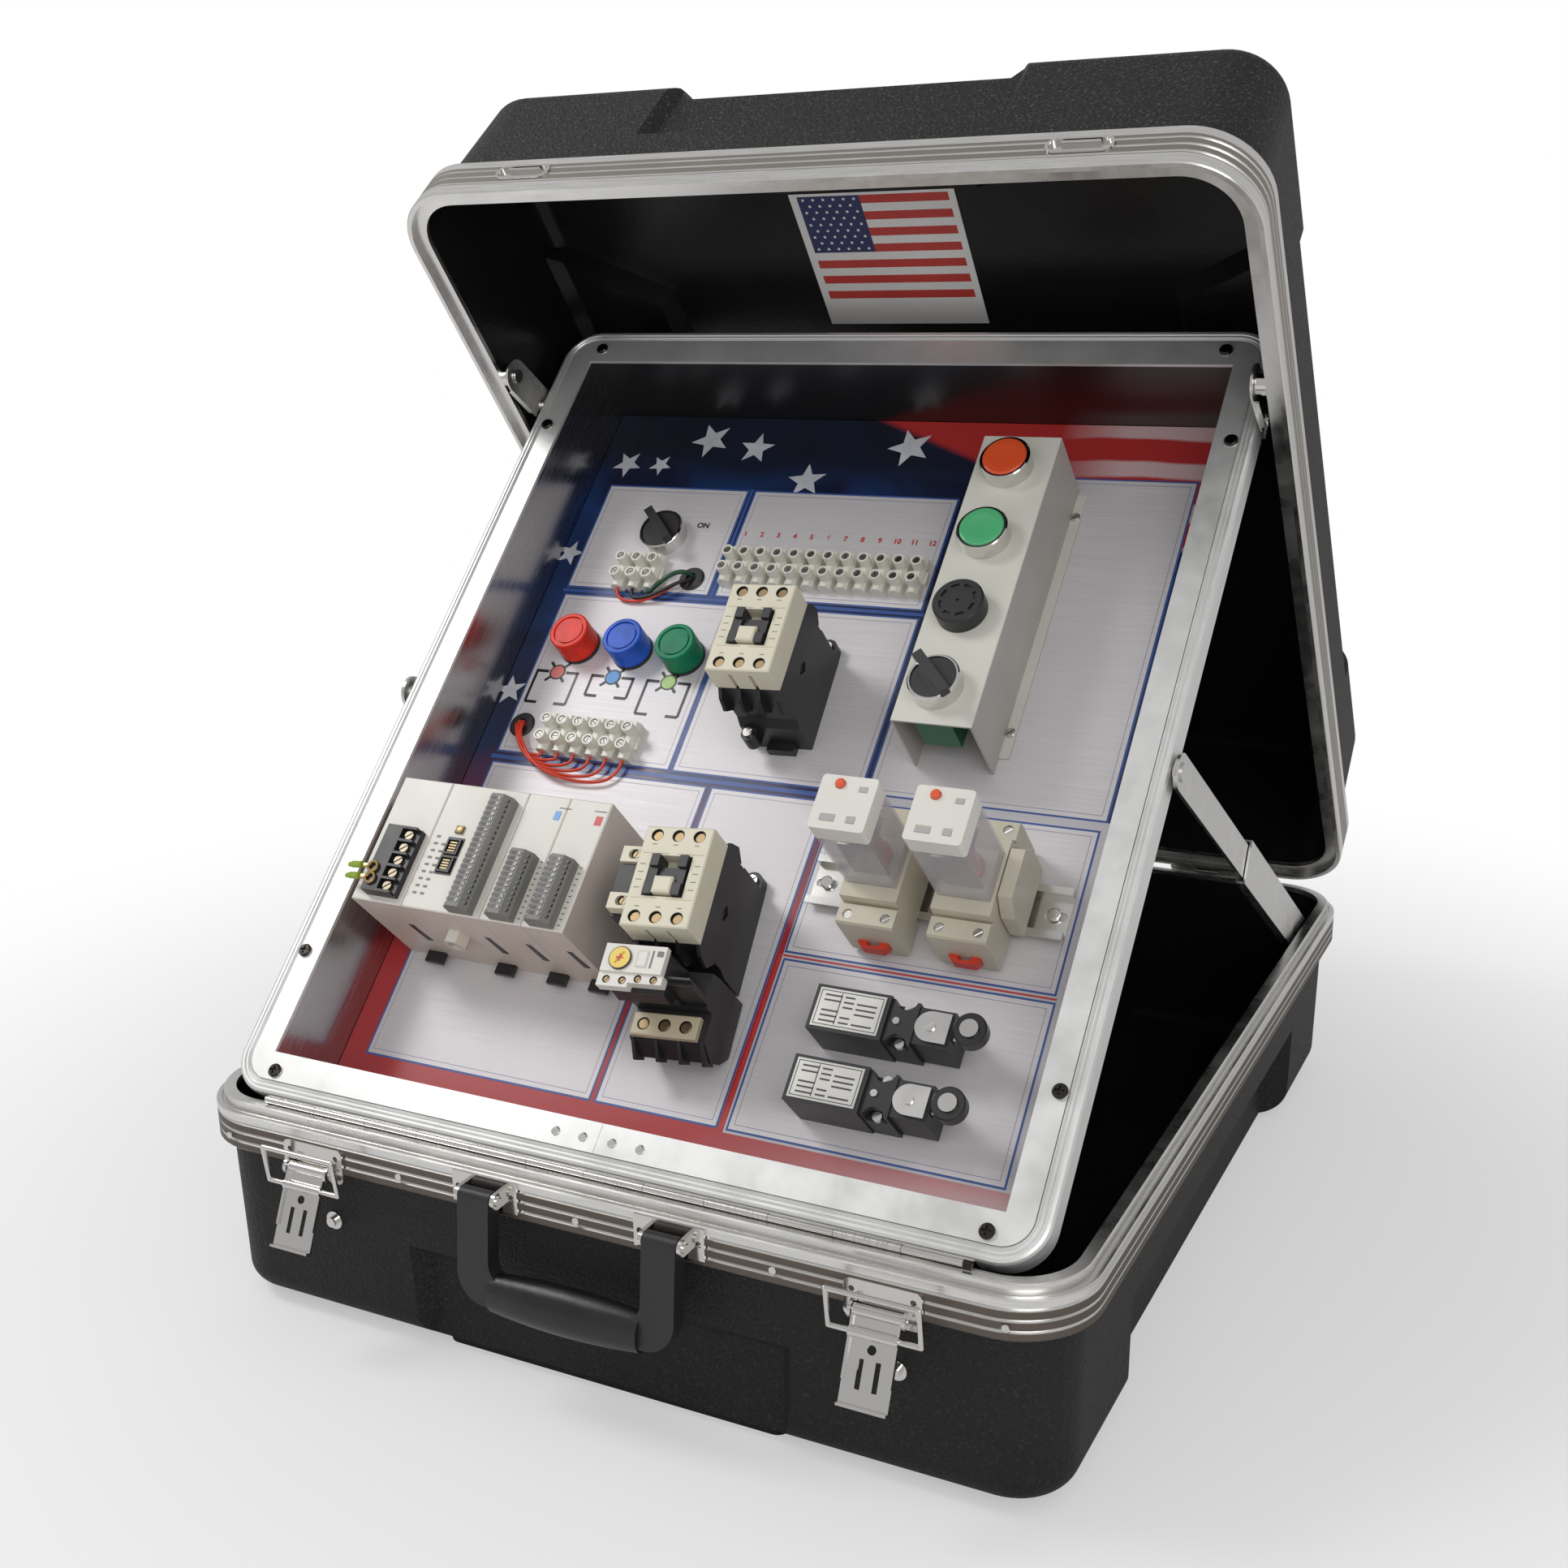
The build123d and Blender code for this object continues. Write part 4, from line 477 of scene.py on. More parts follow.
def recolour(tree, mask, colour, roughness=None):
    """Lays a second colour over a finish where a mask says so."""
    sockets = tree.nodes["Principled BSDF"].inputs
    under = sockets["Base Color"].links[0].from_socket
    feed_shader(tree, Base_Color=mix_colour(tree, mask, under, colour))
    if roughness is not None:
        under = sockets["Roughness"].links[0].from_socket
        feed_shader(tree, Roughness=mix_value(tree, mask, under, roughness))


def plain_finish(name, colour, roughness, metallic=0.0, spread=0.06, patches=14.0, grain=320.0, depth=0.00004,
                 strength=0.25, coat=0.0):
    """A satin or glossy finish with handling marks in its colour, gloss and surface."""
    tree = finish_tree(name, Metallic=metallic, Coat_Weight=coat, Coat_Roughness=0.12)
    marks = use_group(tree, "handling", Patches_per_metre=patches, Dust_per_metre=grain)
    smudge = remap(tree, marks["Smudge"], 0.0, 1.0)
    gloss = remap(tree, marks["Smudge"], max(0.03, roughness - 0.07), min(1.0, roughness + 0.07))
    feed_shader(tree, Base_Color=mix_colour(tree, smudge, *shades(colour, spread)), Roughness=gloss)
    bump(tree, marks["Dust"], strength, depth)
    return tree


def brushed_finish(name, colour, roughness, metallic, stretch, turn=0.0, spread=0.12, depth=0.00003, strength=0.3):
    """Metal with fine lines along one direction."""
    tree = finish_tree(name, Metallic=metallic)
    lines = use_group(tree, "brushed", Stretch=stretch, Turn=(turn, 0, 0))["Lines"]
    marks = use_group(tree, "handling", Patches_per_metre=7.0)
    streaks = mix_colour(tree, remap(tree, lines, 0.0, 1.0), *shades(colour, spread))
    dull = shades(colour, 0.10)[0]
    smudge = remap(tree, marks["Smudge"], 0.0, 0.45, 0.45, 0.75)
    gloss = remap(tree, lines, max(0.05, roughness - 0.06), roughness + 0.10)
    feed_shader(tree, Base_Color=mix_colour(tree, smudge, streaks, dull), Roughness=gloss)
    bump(tree, lines, strength, depth)
    return tree


def moulding_finish(name, middle, glint, settings):
    """Black moulding: pebbled outside with painted highlight specks, smooth and glossier inside."""
    tree = finish_tree(name, Specular_IOR_Level=0.35)
    pebble = use_group(tree, "pebble", Pebbles_per_metre=1.0 / settings.pebble_size)
    inside = use_group(tree, "inside", Middle=middle)["Mask"]
    marks = use_group(tree, "handling", Patches_per_metre=5.0)
    grain_and_glint = mix_colour(tree, remap(tree, pebble["Shade"], 0.0, 1.0), *shades(settings.moulding_colour, 0.35))
    # Pale specks on the pebble tops are painted highlight glints.
    points = remap(tree, pebble["Shade"], 0.0, 1.0, 0.55, 0.66)
    grain_and_glint = mix_colour(tree, points, grain_and_glint, (glint, glint * 0.94, glint * 0.90))
    dust_grain_and_glint = mix_colour(tree, remap(tree, marks["Smudge"], 0.0, 0.5, 0.5, 0.8), grain_and_glint, (0.016, 0.014, 0.013))
    gloss = mix_value(tree, inside, remap(tree, pebble["Shade"], 0.42, 0.62), remap(tree, marks["Smudge"], 0.16, 0.34))
    feed_shader(tree, Base_Color=mix_colour(tree, inside, dust_grain_and_glint, (0.008, 0.0075, 0.0075)), Roughness=gloss)
    bump(tree, mix_value(tree, inside, pebble["Height"], remap(tree, marks["Dust"], 0.0, 0.08)), 0.9, 0.0011)


def lit_top_shaded_sides_finish(name, top, side, roughness, spread=0.05):
    """One colour on the faces that look out of the panel and another on the rest, where the darker side colour is
    painted shade.
    """
    tree = finish_tree(name)
    marks = use_group(tree, "handling", Patches_per_metre=16.0, Dust_per_metre=420.0)
    mask = use_group(tree, "facing", Direction=TRAY_NORMAL, Limit=0.6)["Mask"]
    smudge = remap(tree, marks["Smudge"], 0.0, 1.0)
    face = mix_colour(tree, smudge, *shades(top, spread))
    shaded_rest = mix_colour(tree, smudge, *shades(side, spread * 2))
    gloss = remap(tree, marks["Smudge"], roughness - 0.08, roughness + 0.08)
    feed_shader(tree, Base_Color=mix_colour(tree, mask, shaded_rest, face), Roughness=gloss)
    bump(tree, marks["Dust"], 0.2, 0.00004)


def lens_finish(name, colour):
    """Moulded lens: deep colour and a glossy skin."""
    tree = finish_tree(name, Specular_IOR_Level=0.22)
    marks = use_group(tree, "handling", Patches_per_metre=60.0, Dust_per_metre=900.0)
    tint = mix_colour(tree, remap(tree, marks["Smudge"], 0.0, 1.0), *shades(colour, 0.25))
    feed_shader(tree, Base_Color=tint, Roughness=remap(tree, marks["Dust"], 0.22, 0.36))
    bump(tree, marks["Dust"], 0.12, 0.00004)


def ground_finish(name, settings):
    """Printed ground of the panel: dark flowing cloth above, red below, pale towards the right foot."""
    tree = finish_tree(name)
    spot = use_group(tree, "panel")
    across, up = spot["Across"], spot["Up"]
    wave = node(tree, "TexNoise", in_Scale=7.0, in_Detail=2.0, in_Distortion=1.2, in_Vector=spot["Place"])
    wave = wave.outputs["Fac"]
    drift = calculate(tree, "MULTIPLY_ADD", wave, 0.07, up)
    deep = mix_colour(tree, remap(tree, wave, 0.0, 1.0, 0.40, 0.75), settings.navy, (0.015, 0.055, 0.20))
    header = remap(tree, drift, 0.0, 0.85, 0.585, 0.615, smooth=True)
    deep = mix_colour(tree, header, deep, (0.006, 0.007, 0.014))
    lower = mix_colour(tree, remap(tree, drift, 0.0, 1.0, 0.20, 0.34), settings.red, deep)
    pale = mix_colour(tree, remap(tree, across, 0.0, 0.75, 0.02, 0.22), lower, (0.70, 0.55, 0.56))
    foot = mix_colour(tree, remap(tree, up, 1.0, 0.0, 0.05, 0.075), lower, pale)
    corner = calculate(tree, "MULTIPLY", between(tree, across, 0.0435, 0.30), between(tree, up, 0.0585, 0.300))
    foot = mix_colour(tree, corner, foot, (0.60, 0.585, 0.62))
    # The red swell at the upper right, with pale stripes that run down to the right
    swell = remap(tree, calculate(tree, "MULTIPLY_ADD", across, 0.42, up), 0.0, 1.0, 0.603, 0.609)
    bands = node(tree, "TexWave", wave_type="BANDS", bands_direction="Y", in_Scale=9.0, in_Distortion=1.5,
                 in_Vector=spot["Place"])
    stripe = calculate(tree, "MULTIPLY", remap(tree, bands.outputs["Fac"], 0.0, 0.85, 0.55, 0.75),
                       remap(tree, across, 0.0, 1.0, 0.12, 0.17))
    flow = mix_colour(tree, stripe, (0.50, 0.03, 0.03), (0.72, 0.55, 0.56))
    feed_shader(tree, Base_Color=mix_colour(tree, swell, foot, flow), Roughness=remap(tree, wave, 0.22, 0.36))


def build_metals(case):
    """Rims, tray, fittings and screws."""
    rim_lines = (25.0, 25.0, 900.0)
    rim = brushed_finish("rim_metal", case.rim_colour, 0.26, 1.0, rim_lines, spread=0.10)
    # The dark brown bands between the ribs are painted shade and painted reflection in the grooves.
    recolour(rim, use_group(rim, "rim")["Mask"], (0.16, 0.135, 0.115), 0.45)
    rim = brushed_finish("lid_rim_metal", case.rim_colour, 0.26, 1.0, rim_lines, turn=LID_OPEN, spread=0.10)
    # The lid rim gets the same painted groove shade and reflection, lighter.
    bands = use_group(rim, "rim", Turn=(LID_OPEN, 0, 0), Move=LID.inverted().to_translation(), First_groove=0.1524,
                      Low=0.1505, High=0.1685)
    recolour(rim, bands["Mask"], (0.34, 0.31, 0.28), 0.38)
    brushed_finish("tray_metal", case.tray_colour, 0.34, 0.60, (30.0, 30.0, 700.0), turn=-TRAY_TILT, spread=0.06)
    tub = brushed_finish("tub_metal", (0.52, 0.51, 0.51), 0.22, 1.0, (18.0, 18.0, 1200.0), turn=-TRAY_TILT,
                         spread=0.10, strength=0.12)
    # The tub walls that face down the tray are darkened as a painted reflection of the lid's dark inside.
    recolour(tub, use_group(tub, "facing", Direction=TRAY_DOWN, Limit=0.7)["Mask"], (0.13, 0.125, 0.125), 0.3)
    brushed_finish("zinc_sheet", (0.68, 0.67, 0.65), 0.28, 1.0, (900.0, 60.0, 60.0))
    fittings = plain_finish("tray_hardware", (0.72, 0.70, 0.68), 0.15, metallic=1.0, spread=0.05, grain=700.0)
    spot = use_group(fittings, "panel")
    far = between(fittings, calculate(fittings, "ABSOLUTE", spot["Across"]), 0.235, 0.30)
    above = between(fittings, spot["Height"], TRAY_RECESS * MM + 0.0003, 0.2)
    recolour(fittings, calculate(fittings, "MULTIPLY", far, above), (0.05, 0.045, 0.042), 0.3)
    trim = plain_finish("panel_hardware", (0.74, 0.73, 0.71), 0.20, metallic=1.0, grain=700.0)
    recolour(trim, between(trim, use_group(trim, "panel")["Across"], -0.215, -0.19), (0.22, 0.19, 0.14), 0.35)
    plain_finish("rail_metal", (0.74, 0.73, 0.70), 0.22, metallic=1.0)
    plain_finish("chrome", (0.72, 0.70, 0.68), 0.13, metallic=1.0, spread=0.05, grain=700.0, strength=0.1)
    plain_finish("brass", (0.62, 0.44, 0.20), 0.25, metallic=1.0, spread=0.1)
    plain_finish("screw_brass", (0.26, 0.19, 0.105), 0.34, metallic=1.0, spread=0.25, grain=900.0)
    plain_finish("screw_zinc", (0.22, 0.21, 0.195), 0.36, metallic=1.0, spread=0.25, grain=900.0)
    plain_finish("copper", (0.62, 0.30, 0.17), 0.28, metallic=1.0, spread=0.1)
    plain_finish("silver_label", (0.62, 0.61, 0.58), 0.34, metallic=0.6)
    plain_finish("dull_zinc", (0.50, 0.49, 0.46), 0.32, metallic=1.0, spread=0.12, grain=600.0)


def build_inks(panel):
    """The panel's print, the decal and the labels."""
    ground_finish("printed_ground", panel)
    brushed_finish("silver_field", panel.silver, 0.38, 0.12, (16.0, 1400.0, 1400.0), turn=-TRAY_TILT, spread=0.08,
                   depth=0.00001)
    plain_finish("blue_ink", panel.blue, 0.35, spread=0.12, grain=200.0)
    plain_finish("lilac_ink", (0.34, 0.33, 0.46), 0.35, spread=0.10)
    # Black print, also used as painted shade in screw slots, wire entries and slot openings.
    plain_finish("black_ink_and_shade", (0.012, 0.012, 0.014), 0.35, spread=0.2)
    plain_finish("red_ink", (0.62, 0.05, 0.05), 0.35, spread=0.10)
    plain_finish("star_ink", (0.62, 0.63, 0.68), 0.35, spread=0.18, patches=40.0)
    plain_finish("pink_ink", (0.78, 0.20, 0.18), 0.35)
    plain_finish("sky_ink", (0.08, 0.32, 0.70), 0.35)
    plain_finish("lime_ink", (0.45, 0.66, 0.20), 0.35)
    plain_finish("decal_white", (0.80, 0.79, 0.77), 0.40, spread=0.04)
    plain_finish("decal_red", (0.52, 0.05, 0.04), 0.40, spread=0.08)
    plain_finish("decal_blue", (0.030, 0.035, 0.12), 0.40, spread=0.10)
    plain_finish("label_ink", (0.07, 0.066, 0.06), 0.4, spread=0.2)
    plain_finish("cover_ink", (0.30, 0.27, 0.21), 0.5, spread=0.2)


def build_plastics(case):
    """Case mouldings, devices, wires and clear covers."""
    # The lid's painted highlight specks are brighter than the base's, as light grazes the lid.
    moulding_finish("moulded_base", (0, 0, 0.110), 0.030, case)
    moulding_finish("moulded_lid", LID @ Vector((0, 0, (RIM_PLANE + 40) * MM)), 0.085, case)
    plain_finish("handle_moulding", (0.020, 0.019, 0.019), 0.42, spread=0.25, grain=700.0, depth=0.0002, strength=0.5)
    plain_finish("grip_skin", (0.016, 0.014, 0.014), 0.24, spread=0.25, grain=500.0, depth=0.0004, strength=0.6)
    plain_finish("satin_black", (0.018, 0.018, 0.019), 0.38, spread=0.25, grain=600.0)
    plain_finish("selector_black", (0.030, 0.030, 0.032), 0.32, spread=0.2, grain=500.0)
    plain_finish("roller_black", (0.020, 0.020, 0.021), 0.30, spread=0.2)
    plain_finish("red_cap", (0.80, 0.10, 0.030), 0.22, coat=0.3)
    plain_finish("green_cap", (0.09, 0.46, 0.20), 0.22, coat=0.3)
    lens_finish("lens_red", (0.82, 0.030, 0.012))
    lens_finish("lens_blue", (0.020, 0.11, 0.62))
    lens_finish("lens_green", (0.004, 0.24, 0.11))
    # The darker side colours of the box and the controller are painted shade.
    lit_top_shaded_sides_finish("ivory_box", (0.70, 0.69, 0.62), (0.50, 0.485, 0.45), 0.40)
    lit_top_shaded_sides_finish("controller_shell", (0.78, 0.745, 0.69), (0.66, 0.575, 0.51), 0.40)
    plain_finish("green_block", (0.015, 0.14, 0.055), 0.35)
    nylon = plain_finish("nylon", (0.80, 0.795, 0.71), 0.34, spread=0.05, patches=60.0)
    feed_shader(nylon, Subsurface_Weight=0.5, Subsurface_Radius=(0.006, 0.006, 0.005))
    plain_finish("wire_red", (0.74, 0.050, 0.02), 0.30, spread=0.1)
    plain_finish("wire_green", (0.012, 0.07, 0.030), 0.30, spread=0.2)
    plain_finish("lug_green", (0.30, 0.42, 0.04), 0.35, spread=0.1)
    plain_finish("cream", (0.76, 0.71, 0.56), 0.42, spread=0.05, grain=500.0)
    plain_finish("white_plastic", (0.78, 0.76, 0.70), 0.36, spread=0.04, grain=500.0)
    faces = plain_finish("overload_plastic", (0.78, 0.76, 0.70), 0.36, spread=0.04, grain=500.0)
    recolour(faces, between(faces, use_group(faces, "panel")["Height"], 0.0, 0.055), (0.55, 0.47, 0.33))
    plain_finish("terminal_grey", (0.20, 0.195, 0.18), 0.45, spread=0.15, grain=500.0)
    plain_finish("dial_yellow", (0.84, 0.62, 0.10), 0.32)
    plain_finish("beige", (0.62, 0.57, 0.46), 0.42, grain=500.0)
    plain_finish("clip_red", (0.66, 0.05, 0.02), 0.32)
    plain_finish("window_grey", (0.46, 0.46, 0.45), 0.2, spread=0.1)
    clear = plain_finish("clear_cover", (0.66, 0.63, 0.65), 0.10, spread=0.03, grain=200.0, strength=0.05)
    feed_shader(clear, Alpha=0.36)


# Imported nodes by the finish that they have
FINISHED_NODES = {
    "moulded_base": "base_shell",
    "moulded_lid": "lid_shell",
    "rim_metal": "base_valance",
    "lid_rim_metal": "lid_valance",
    "tray_metal": "tray_frame",
    "tub_metal": "tray_tub",
    "printed_ground": "panel_plate",
    "tray_hardware": "tray_fittings",
    "panel_hardware": "bright_parts",
    "rail_metal": "mounting_rails",
    "zinc_sheet": "base_hinges stay_channel_left stay_channel_right stay_arm_left stay_arm_right lid_hook_left"
                  " lid_hook_right",
    "chrome": "lid_fittings front_fittings latch_lever_left latch_lever_right latch_bail_left latch_bail_right"
              " control_bezels limit_plunger_1 limit_plunger_2",
    "handle_moulding": "handle_frame",
    "grip_skin": "handle_grip",
    "selector_black": "power_selector control_selector",
    "satin_black": "buzzer contactor_bodies panel_black_parts limit_switch_bodies",
    "roller_black": "limit_roller_1 limit_roller_2",
    "red_cap": "red_button relay_button_1 relay_button_2",
    "green_cap": "green_button",
    "ivory_box": "control_box",
    "green_block": "contact_blocks",
    "nylon": "terminal_strips",
    "wire_red": "panel_wires",
    "lens_red": "lamp_lens_red",
    "lens_blue": "lamp_lens_blue",
    "lens_green": "lamp_lens_green",
    "cream": "contactor_covers contactor_slider starter_slider",
    "overload_plastic": "overload_faces",
    "dial_yellow": "overload_dial",
    "controller_shell": "plc_modules",
    "terminal_grey": "plc_terminals",
    "beige": "relay_sockets",
    "clip_red": "relay_clips",
    "clear_cover": "relay_housings",
    "white_plastic": "relay_caps",
}


class TRAINER_OT_finishes(bpy.types.Operator):
    """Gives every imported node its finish"""

    bl_idname = "trainer.finishes"
    bl_label = "Finishes"

    def execute(self, context):
        build_groups()
        build_metals(context.scene.trainer_case)
        build_inks(context.scene.trainer_panel)
        build_plastics(context.scene.trainer_case)
        chosen = {name: finish for finish, names in FINISHED_NODES.items() for name in names.split()}
        for name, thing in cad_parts.items():
            material = finishes[chosen[name]]
            if not thing.material_slots:
                thing.data.materials.append(material)
            for slot in thing.material_slots:
                slot.material = material
        return {"FINISHED"}


def printed_field(name, edges, settings):
    """One field: a foil with a blue outline, a thin inner line and a brushed middle."""
    left, right, low, high = edges
    piece = block(name, (left, low, 0.0), (right, high, settings.ink_height / MM))
    for material in ("silver_field", "blue_ink", "lilac_ink"):
        piece.data.materials.append(finishes[material])
    pick_faces(piece)
    ink_selected(piece, 1)
    inset(settings.outline)
    ink_selected(piece, 0)
    inset(0.0030)
    ink_selected(piece, 2)
    inset(0.0005)
    ink_selected(piece, 0)
    leave_edit()
    return piece


def star(name, x, y, radius, turn, height):
    """A five pointed star: a ten sided foil with every other corner drawn in."""
    piece = post(name, 0, 0, 0, height, radius, 10)
    make_active(piece)
    bpy.context.tool_settings.mesh_select_mode = (True, False, False)
    for part in (piece.data.edges, piece.data.polygons):
        for item in part:
            item.select = False
    for vertex in piece.data.vertices:
        angle = math.degrees(math.atan2(vertex.co.y, vertex.co.x))
        vertex.select = round((angle - 18) / 36) % 2 != 0
    bpy.ops.object.mode_set(mode="EDIT")
    bpy.ops.transform.resize(value=(0.42, 0.42, 1.0), center_override=(0, 0, 0))
    leave_edit()
    return turn_and_move([piece], x, y, 0, turn)


def turn_and_move(pieces, x, y, z, turn):
    """Joins pieces made at the origin, turns them about Z and moves them."""
    whole = joined(pieces)
    whole.rotation_euler = (0, 0, math.radians(turn))
    whole.location = (x * MM, y * MM, z * MM)
    return apply_place(whole)


class TRAINER_OT_panel_print(bpy.types.Operator):
    """Prints the fields, stars, lines, figures and lamp symbols on the panel"""

    bl_idname = "trainer.panel_print"
    bl_label = "Panel print"

    def execute(self, context):
        settings = context.scene.trainer_panel
        fields = [printed_field("field_" + name, edges, settings) for name, edges in PRINTED_FIELDS.items()]
        fields[0].name = "printed_fields"
        settle(fields)
        stars = [star("star_%d" % index, *place, 0.12) for index, place in enumerate(STARS)]
        settle(stars, "star_ink")
        self.strips()
        self.figures()
        self.lamp_symbols()
        return {"FINISHED"}

    def strips(self):
        """Thin coloured lines between and beside the fields."""
        blue = blocks(
            "blue_lines", (-235, 442.6, 0.0, 62, 445.4, 0.12), (-108.6, 446, 0.0, -106.4, 546, 0.12),
            (-86.7, 299, 0.0, -85.3, 442, 0.12), (-235, 294.2, 0.0, 40, 297.6, 0.12))
        settle(blue, "blue_ink")
        red = blocks(
            "red_lines", (-51.9, 60, 0.0, -51.1, 180, 0.14), (40.9, 60, 0.0, 42.9, 180, 0.14),
            (230.5, 60, 0.0, 231.5, 430, 0.14), (44, 178.4, 0.0, 226, 179.6, 0.14))
        settle(red, "red_ink")

    def figures(self):
        """Numbers over the twelve way strip, and the switch's ON mark."""
        left, row, ways = TERMINAL_STRIPS[0]
        numbers = [label("way_%d" % (way + 1), str(way + 1), left + (way + 0.5) * TERMINAL_PITCH, row + 33, 0.3, 6.0)
                   for way in range(ways)]
        settle(numbers, "red_ink")
        settle([label("on_mark", "ON", -137, 510, 0.3, 6.5)], "black_ink_and_shade")

    def lamp_symbols(self):
        """A round lamp sign with a cross and bracket lines under each lamp."""
        black = []
        low, high = SIGN_ROW - 1.2, SIGN_ROW + 1.2
        for x, out, drop, ink in LAMP_SIGNS:
            for side in (-1, 1):
                end, near = x + side * out, x + side * 7.5
                foot = end - side * 10
                black += blocks(
                    "arm", (min(end, near), low, 0.2, max(end, near), high, 0.32),
                    (end - 1.1, SIGN_ROW - drop, 0.2, end + 1.1, high, 0.32),
                    (min(end, foot), low - drop, 0.2, max(end, foot), high - drop, 0.32))
            for turn in (45, -45):
                bar = block("arm", (-11.5, -1.1, 0.2), (11.5, 1.1, 0.32))
                black.append(turn_and_move([bar], x, SIGN_ROW, 0, turn))
            black.append(post("ring", x, SIGN_ROW, 0.2, 0.34, 6.6, 28))
        settle(black, "black_ink_and_shade")
        for x, out, drop, ink in LAMP_SIGNS:
            centre = post("lamp_sign", x, SIGN_ROW, 0.3, 0.42, 5.4, 28)
            pick_faces(centre)
            inset(0.0008, 0.0001)
            leave_edit()
            settle([centre], ink)


def screw(name, finish, x, y, top, radius, turn=0.0, height=1.6):
    """A round screw head with a driving slot drawn as a thin dark strip of painted shade."""
    head = post(name, 0, 0, 0, height, radius, 20)
    head.data.materials.append(finishes[finish])
    pick_faces(head)
    inset(radius * 0.14 * MM, radius * 0.07 * MM)
    leave_edit()
    long, half = radius * 0.82, radius * 0.13
    # A thin black strip on the head stands in for the slot as painted shade.
    slot = block(name + "_slot", (-long, -half, height), (long, half, height + 0.25))
    slot.data.materials.append(finishes["black_ink_and_shade"])
    return turn_and_move([head, slot], x, y, top - height, turn)


def cup(name, x, y, low, high, radius, wall, sides=20):
    """A round sleeve that is open at the top."""
    piece = post(name, x, y, low, high, radius, sides)
    pick_faces(piece)
    inset(wall * MM)
    extrude(0, 0, -(high - low - 0.3) * MM)
    leave_edit()
    return piece


class TRAINER_OT_terminal_screws(bpy.types.Operator):
    """Sets screws in the towers of the nylon strips"""

    bl_idname = "trainer.terminal_screws"
    bl_label = "Terminal screws"

    def execute(self, context):
        sleeves = []
        screws = []
        for left, row, ways in TERMINAL_STRIPS:
            for way in range(ways):
                x = left + (way + 0.5) * TERMINAL_PITCH
                for side in (-7, 7):
                    sleeves.append(cup("sleeve", x, row + side, 14.6, 16.4, 4.3, 1.3, 14))
                    screws.append(screw("screw", "screw_zinc", x, row + side, 15.5, 2.7, 37 * way + side * 5))
        settle(sleeves, "nylon")
        settle(screws)
        return {"FINISHED"}


class TRAINER_OT_wires(bpy.types.Operator):
    """Lays the short captive wires from each grommet to its terminal strip"""

    bl_idname = "trainer.wires"
    bl_label = "Panel wires"

    def execute(self, context):
        red = []
        left, row, ways = TERMINAL_STRIPS[2]
        for way in range(ways):
            x = left + (way + 0.5) * TERMINAL_PITCH
            start_x, start_y = -219.5 + 2.6 * math.cos(way * 1.05), 323.5 + 2.6 * math.sin(way * 1.05)
            dip = row - 19.5 - 3.4 * way
            reach = x - start_x
            red.append(self.wire(1.15, (
                (start_x, start_y, 0.8), (start_x + 0.6, start_y - 1.0, 5.5), (start_x + 3.0, start_y - 7.0, 8.5),
                (start_x + 0.30 * reach, dip + 4.0, 7.0 + 0.5 * way), (start_x + 0.68 * reach, dip, 4.6),
                (x - 3.0, dip + 3.0, 4.0), (x, 296.0, 4.4), (x, 303.5, 5.0))))
        red.append(self.wire(1.25, (
            (-131.0, 459.5, 0.8), (-132.0, 457.5, 5.5), (-139.0, 449.0, 6.0), (-158.0, 436.5, 3.2),
            (-176.0, 435.5, 2.6), (-185.2, 439.5, 3.4), (-185.7, 448.0, 5.0))))
        self.lay(red, "wire_red", "wire_red")
        green = self.wire(1.7, (
            (-128.5, 463.0, 0.8), (-129.5, 463.5, 5.0), (-135.5, 462.0, 9.5), (-145.0, 455.5, 9.0),
            (-155.5, 445.0, 6.0), (-158.6, 441.5, 4.8), (-158.5, 448.0, 5.0)))
        self.lay([green], "wire_red", "wire_green")
        dark = self.wire(1.4, (
            (-127.0, 459.0, 0.8), (-127.6, 457.5, 5.5), (-135.0, 451.0, 9.0), (-150.0, 441.0, 6.5),
            (-166.0, 437.0, 4.4), (-172.0, 439.5, 4.4), (-172.1, 448.0, 5.0)))
        self.lay([dark], "black_plastic", "satin_black")
        return {"FINISHED"}

    def lay(self, pieces, slot, finish):
        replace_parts(settle(pieces, finish), "panel_wires")

    def wire(self, radius, points):
        """A smooth round wire through a few guiding points."""
        curve = bpy.data.curves.new("captive_wire", "CURVE")
        curve.dimensions = "3D"
        spline = curve.splines.new("NURBS")
        spline.points.add(len(points) - 1)
        for point, place in zip(spline.points, points):
            point.co = [value * MM for value in place] + [1.0]
        spline.order_u = 4
        spline.use_endpoint_u = True
        curve.resolution_u = 5
        curve.bevel_depth = radius * MM
        curve.bevel_resolution = 3
        curve.use_fill_caps = True
        thing = bpy.data.objects.new("captive_wire", curve)
        bpy.context.scene.collection.objects.link(thing)
        make_active(thing)
        bpy.ops.object.convert(target="MESH")
        return apply_place(bpy.context.object)


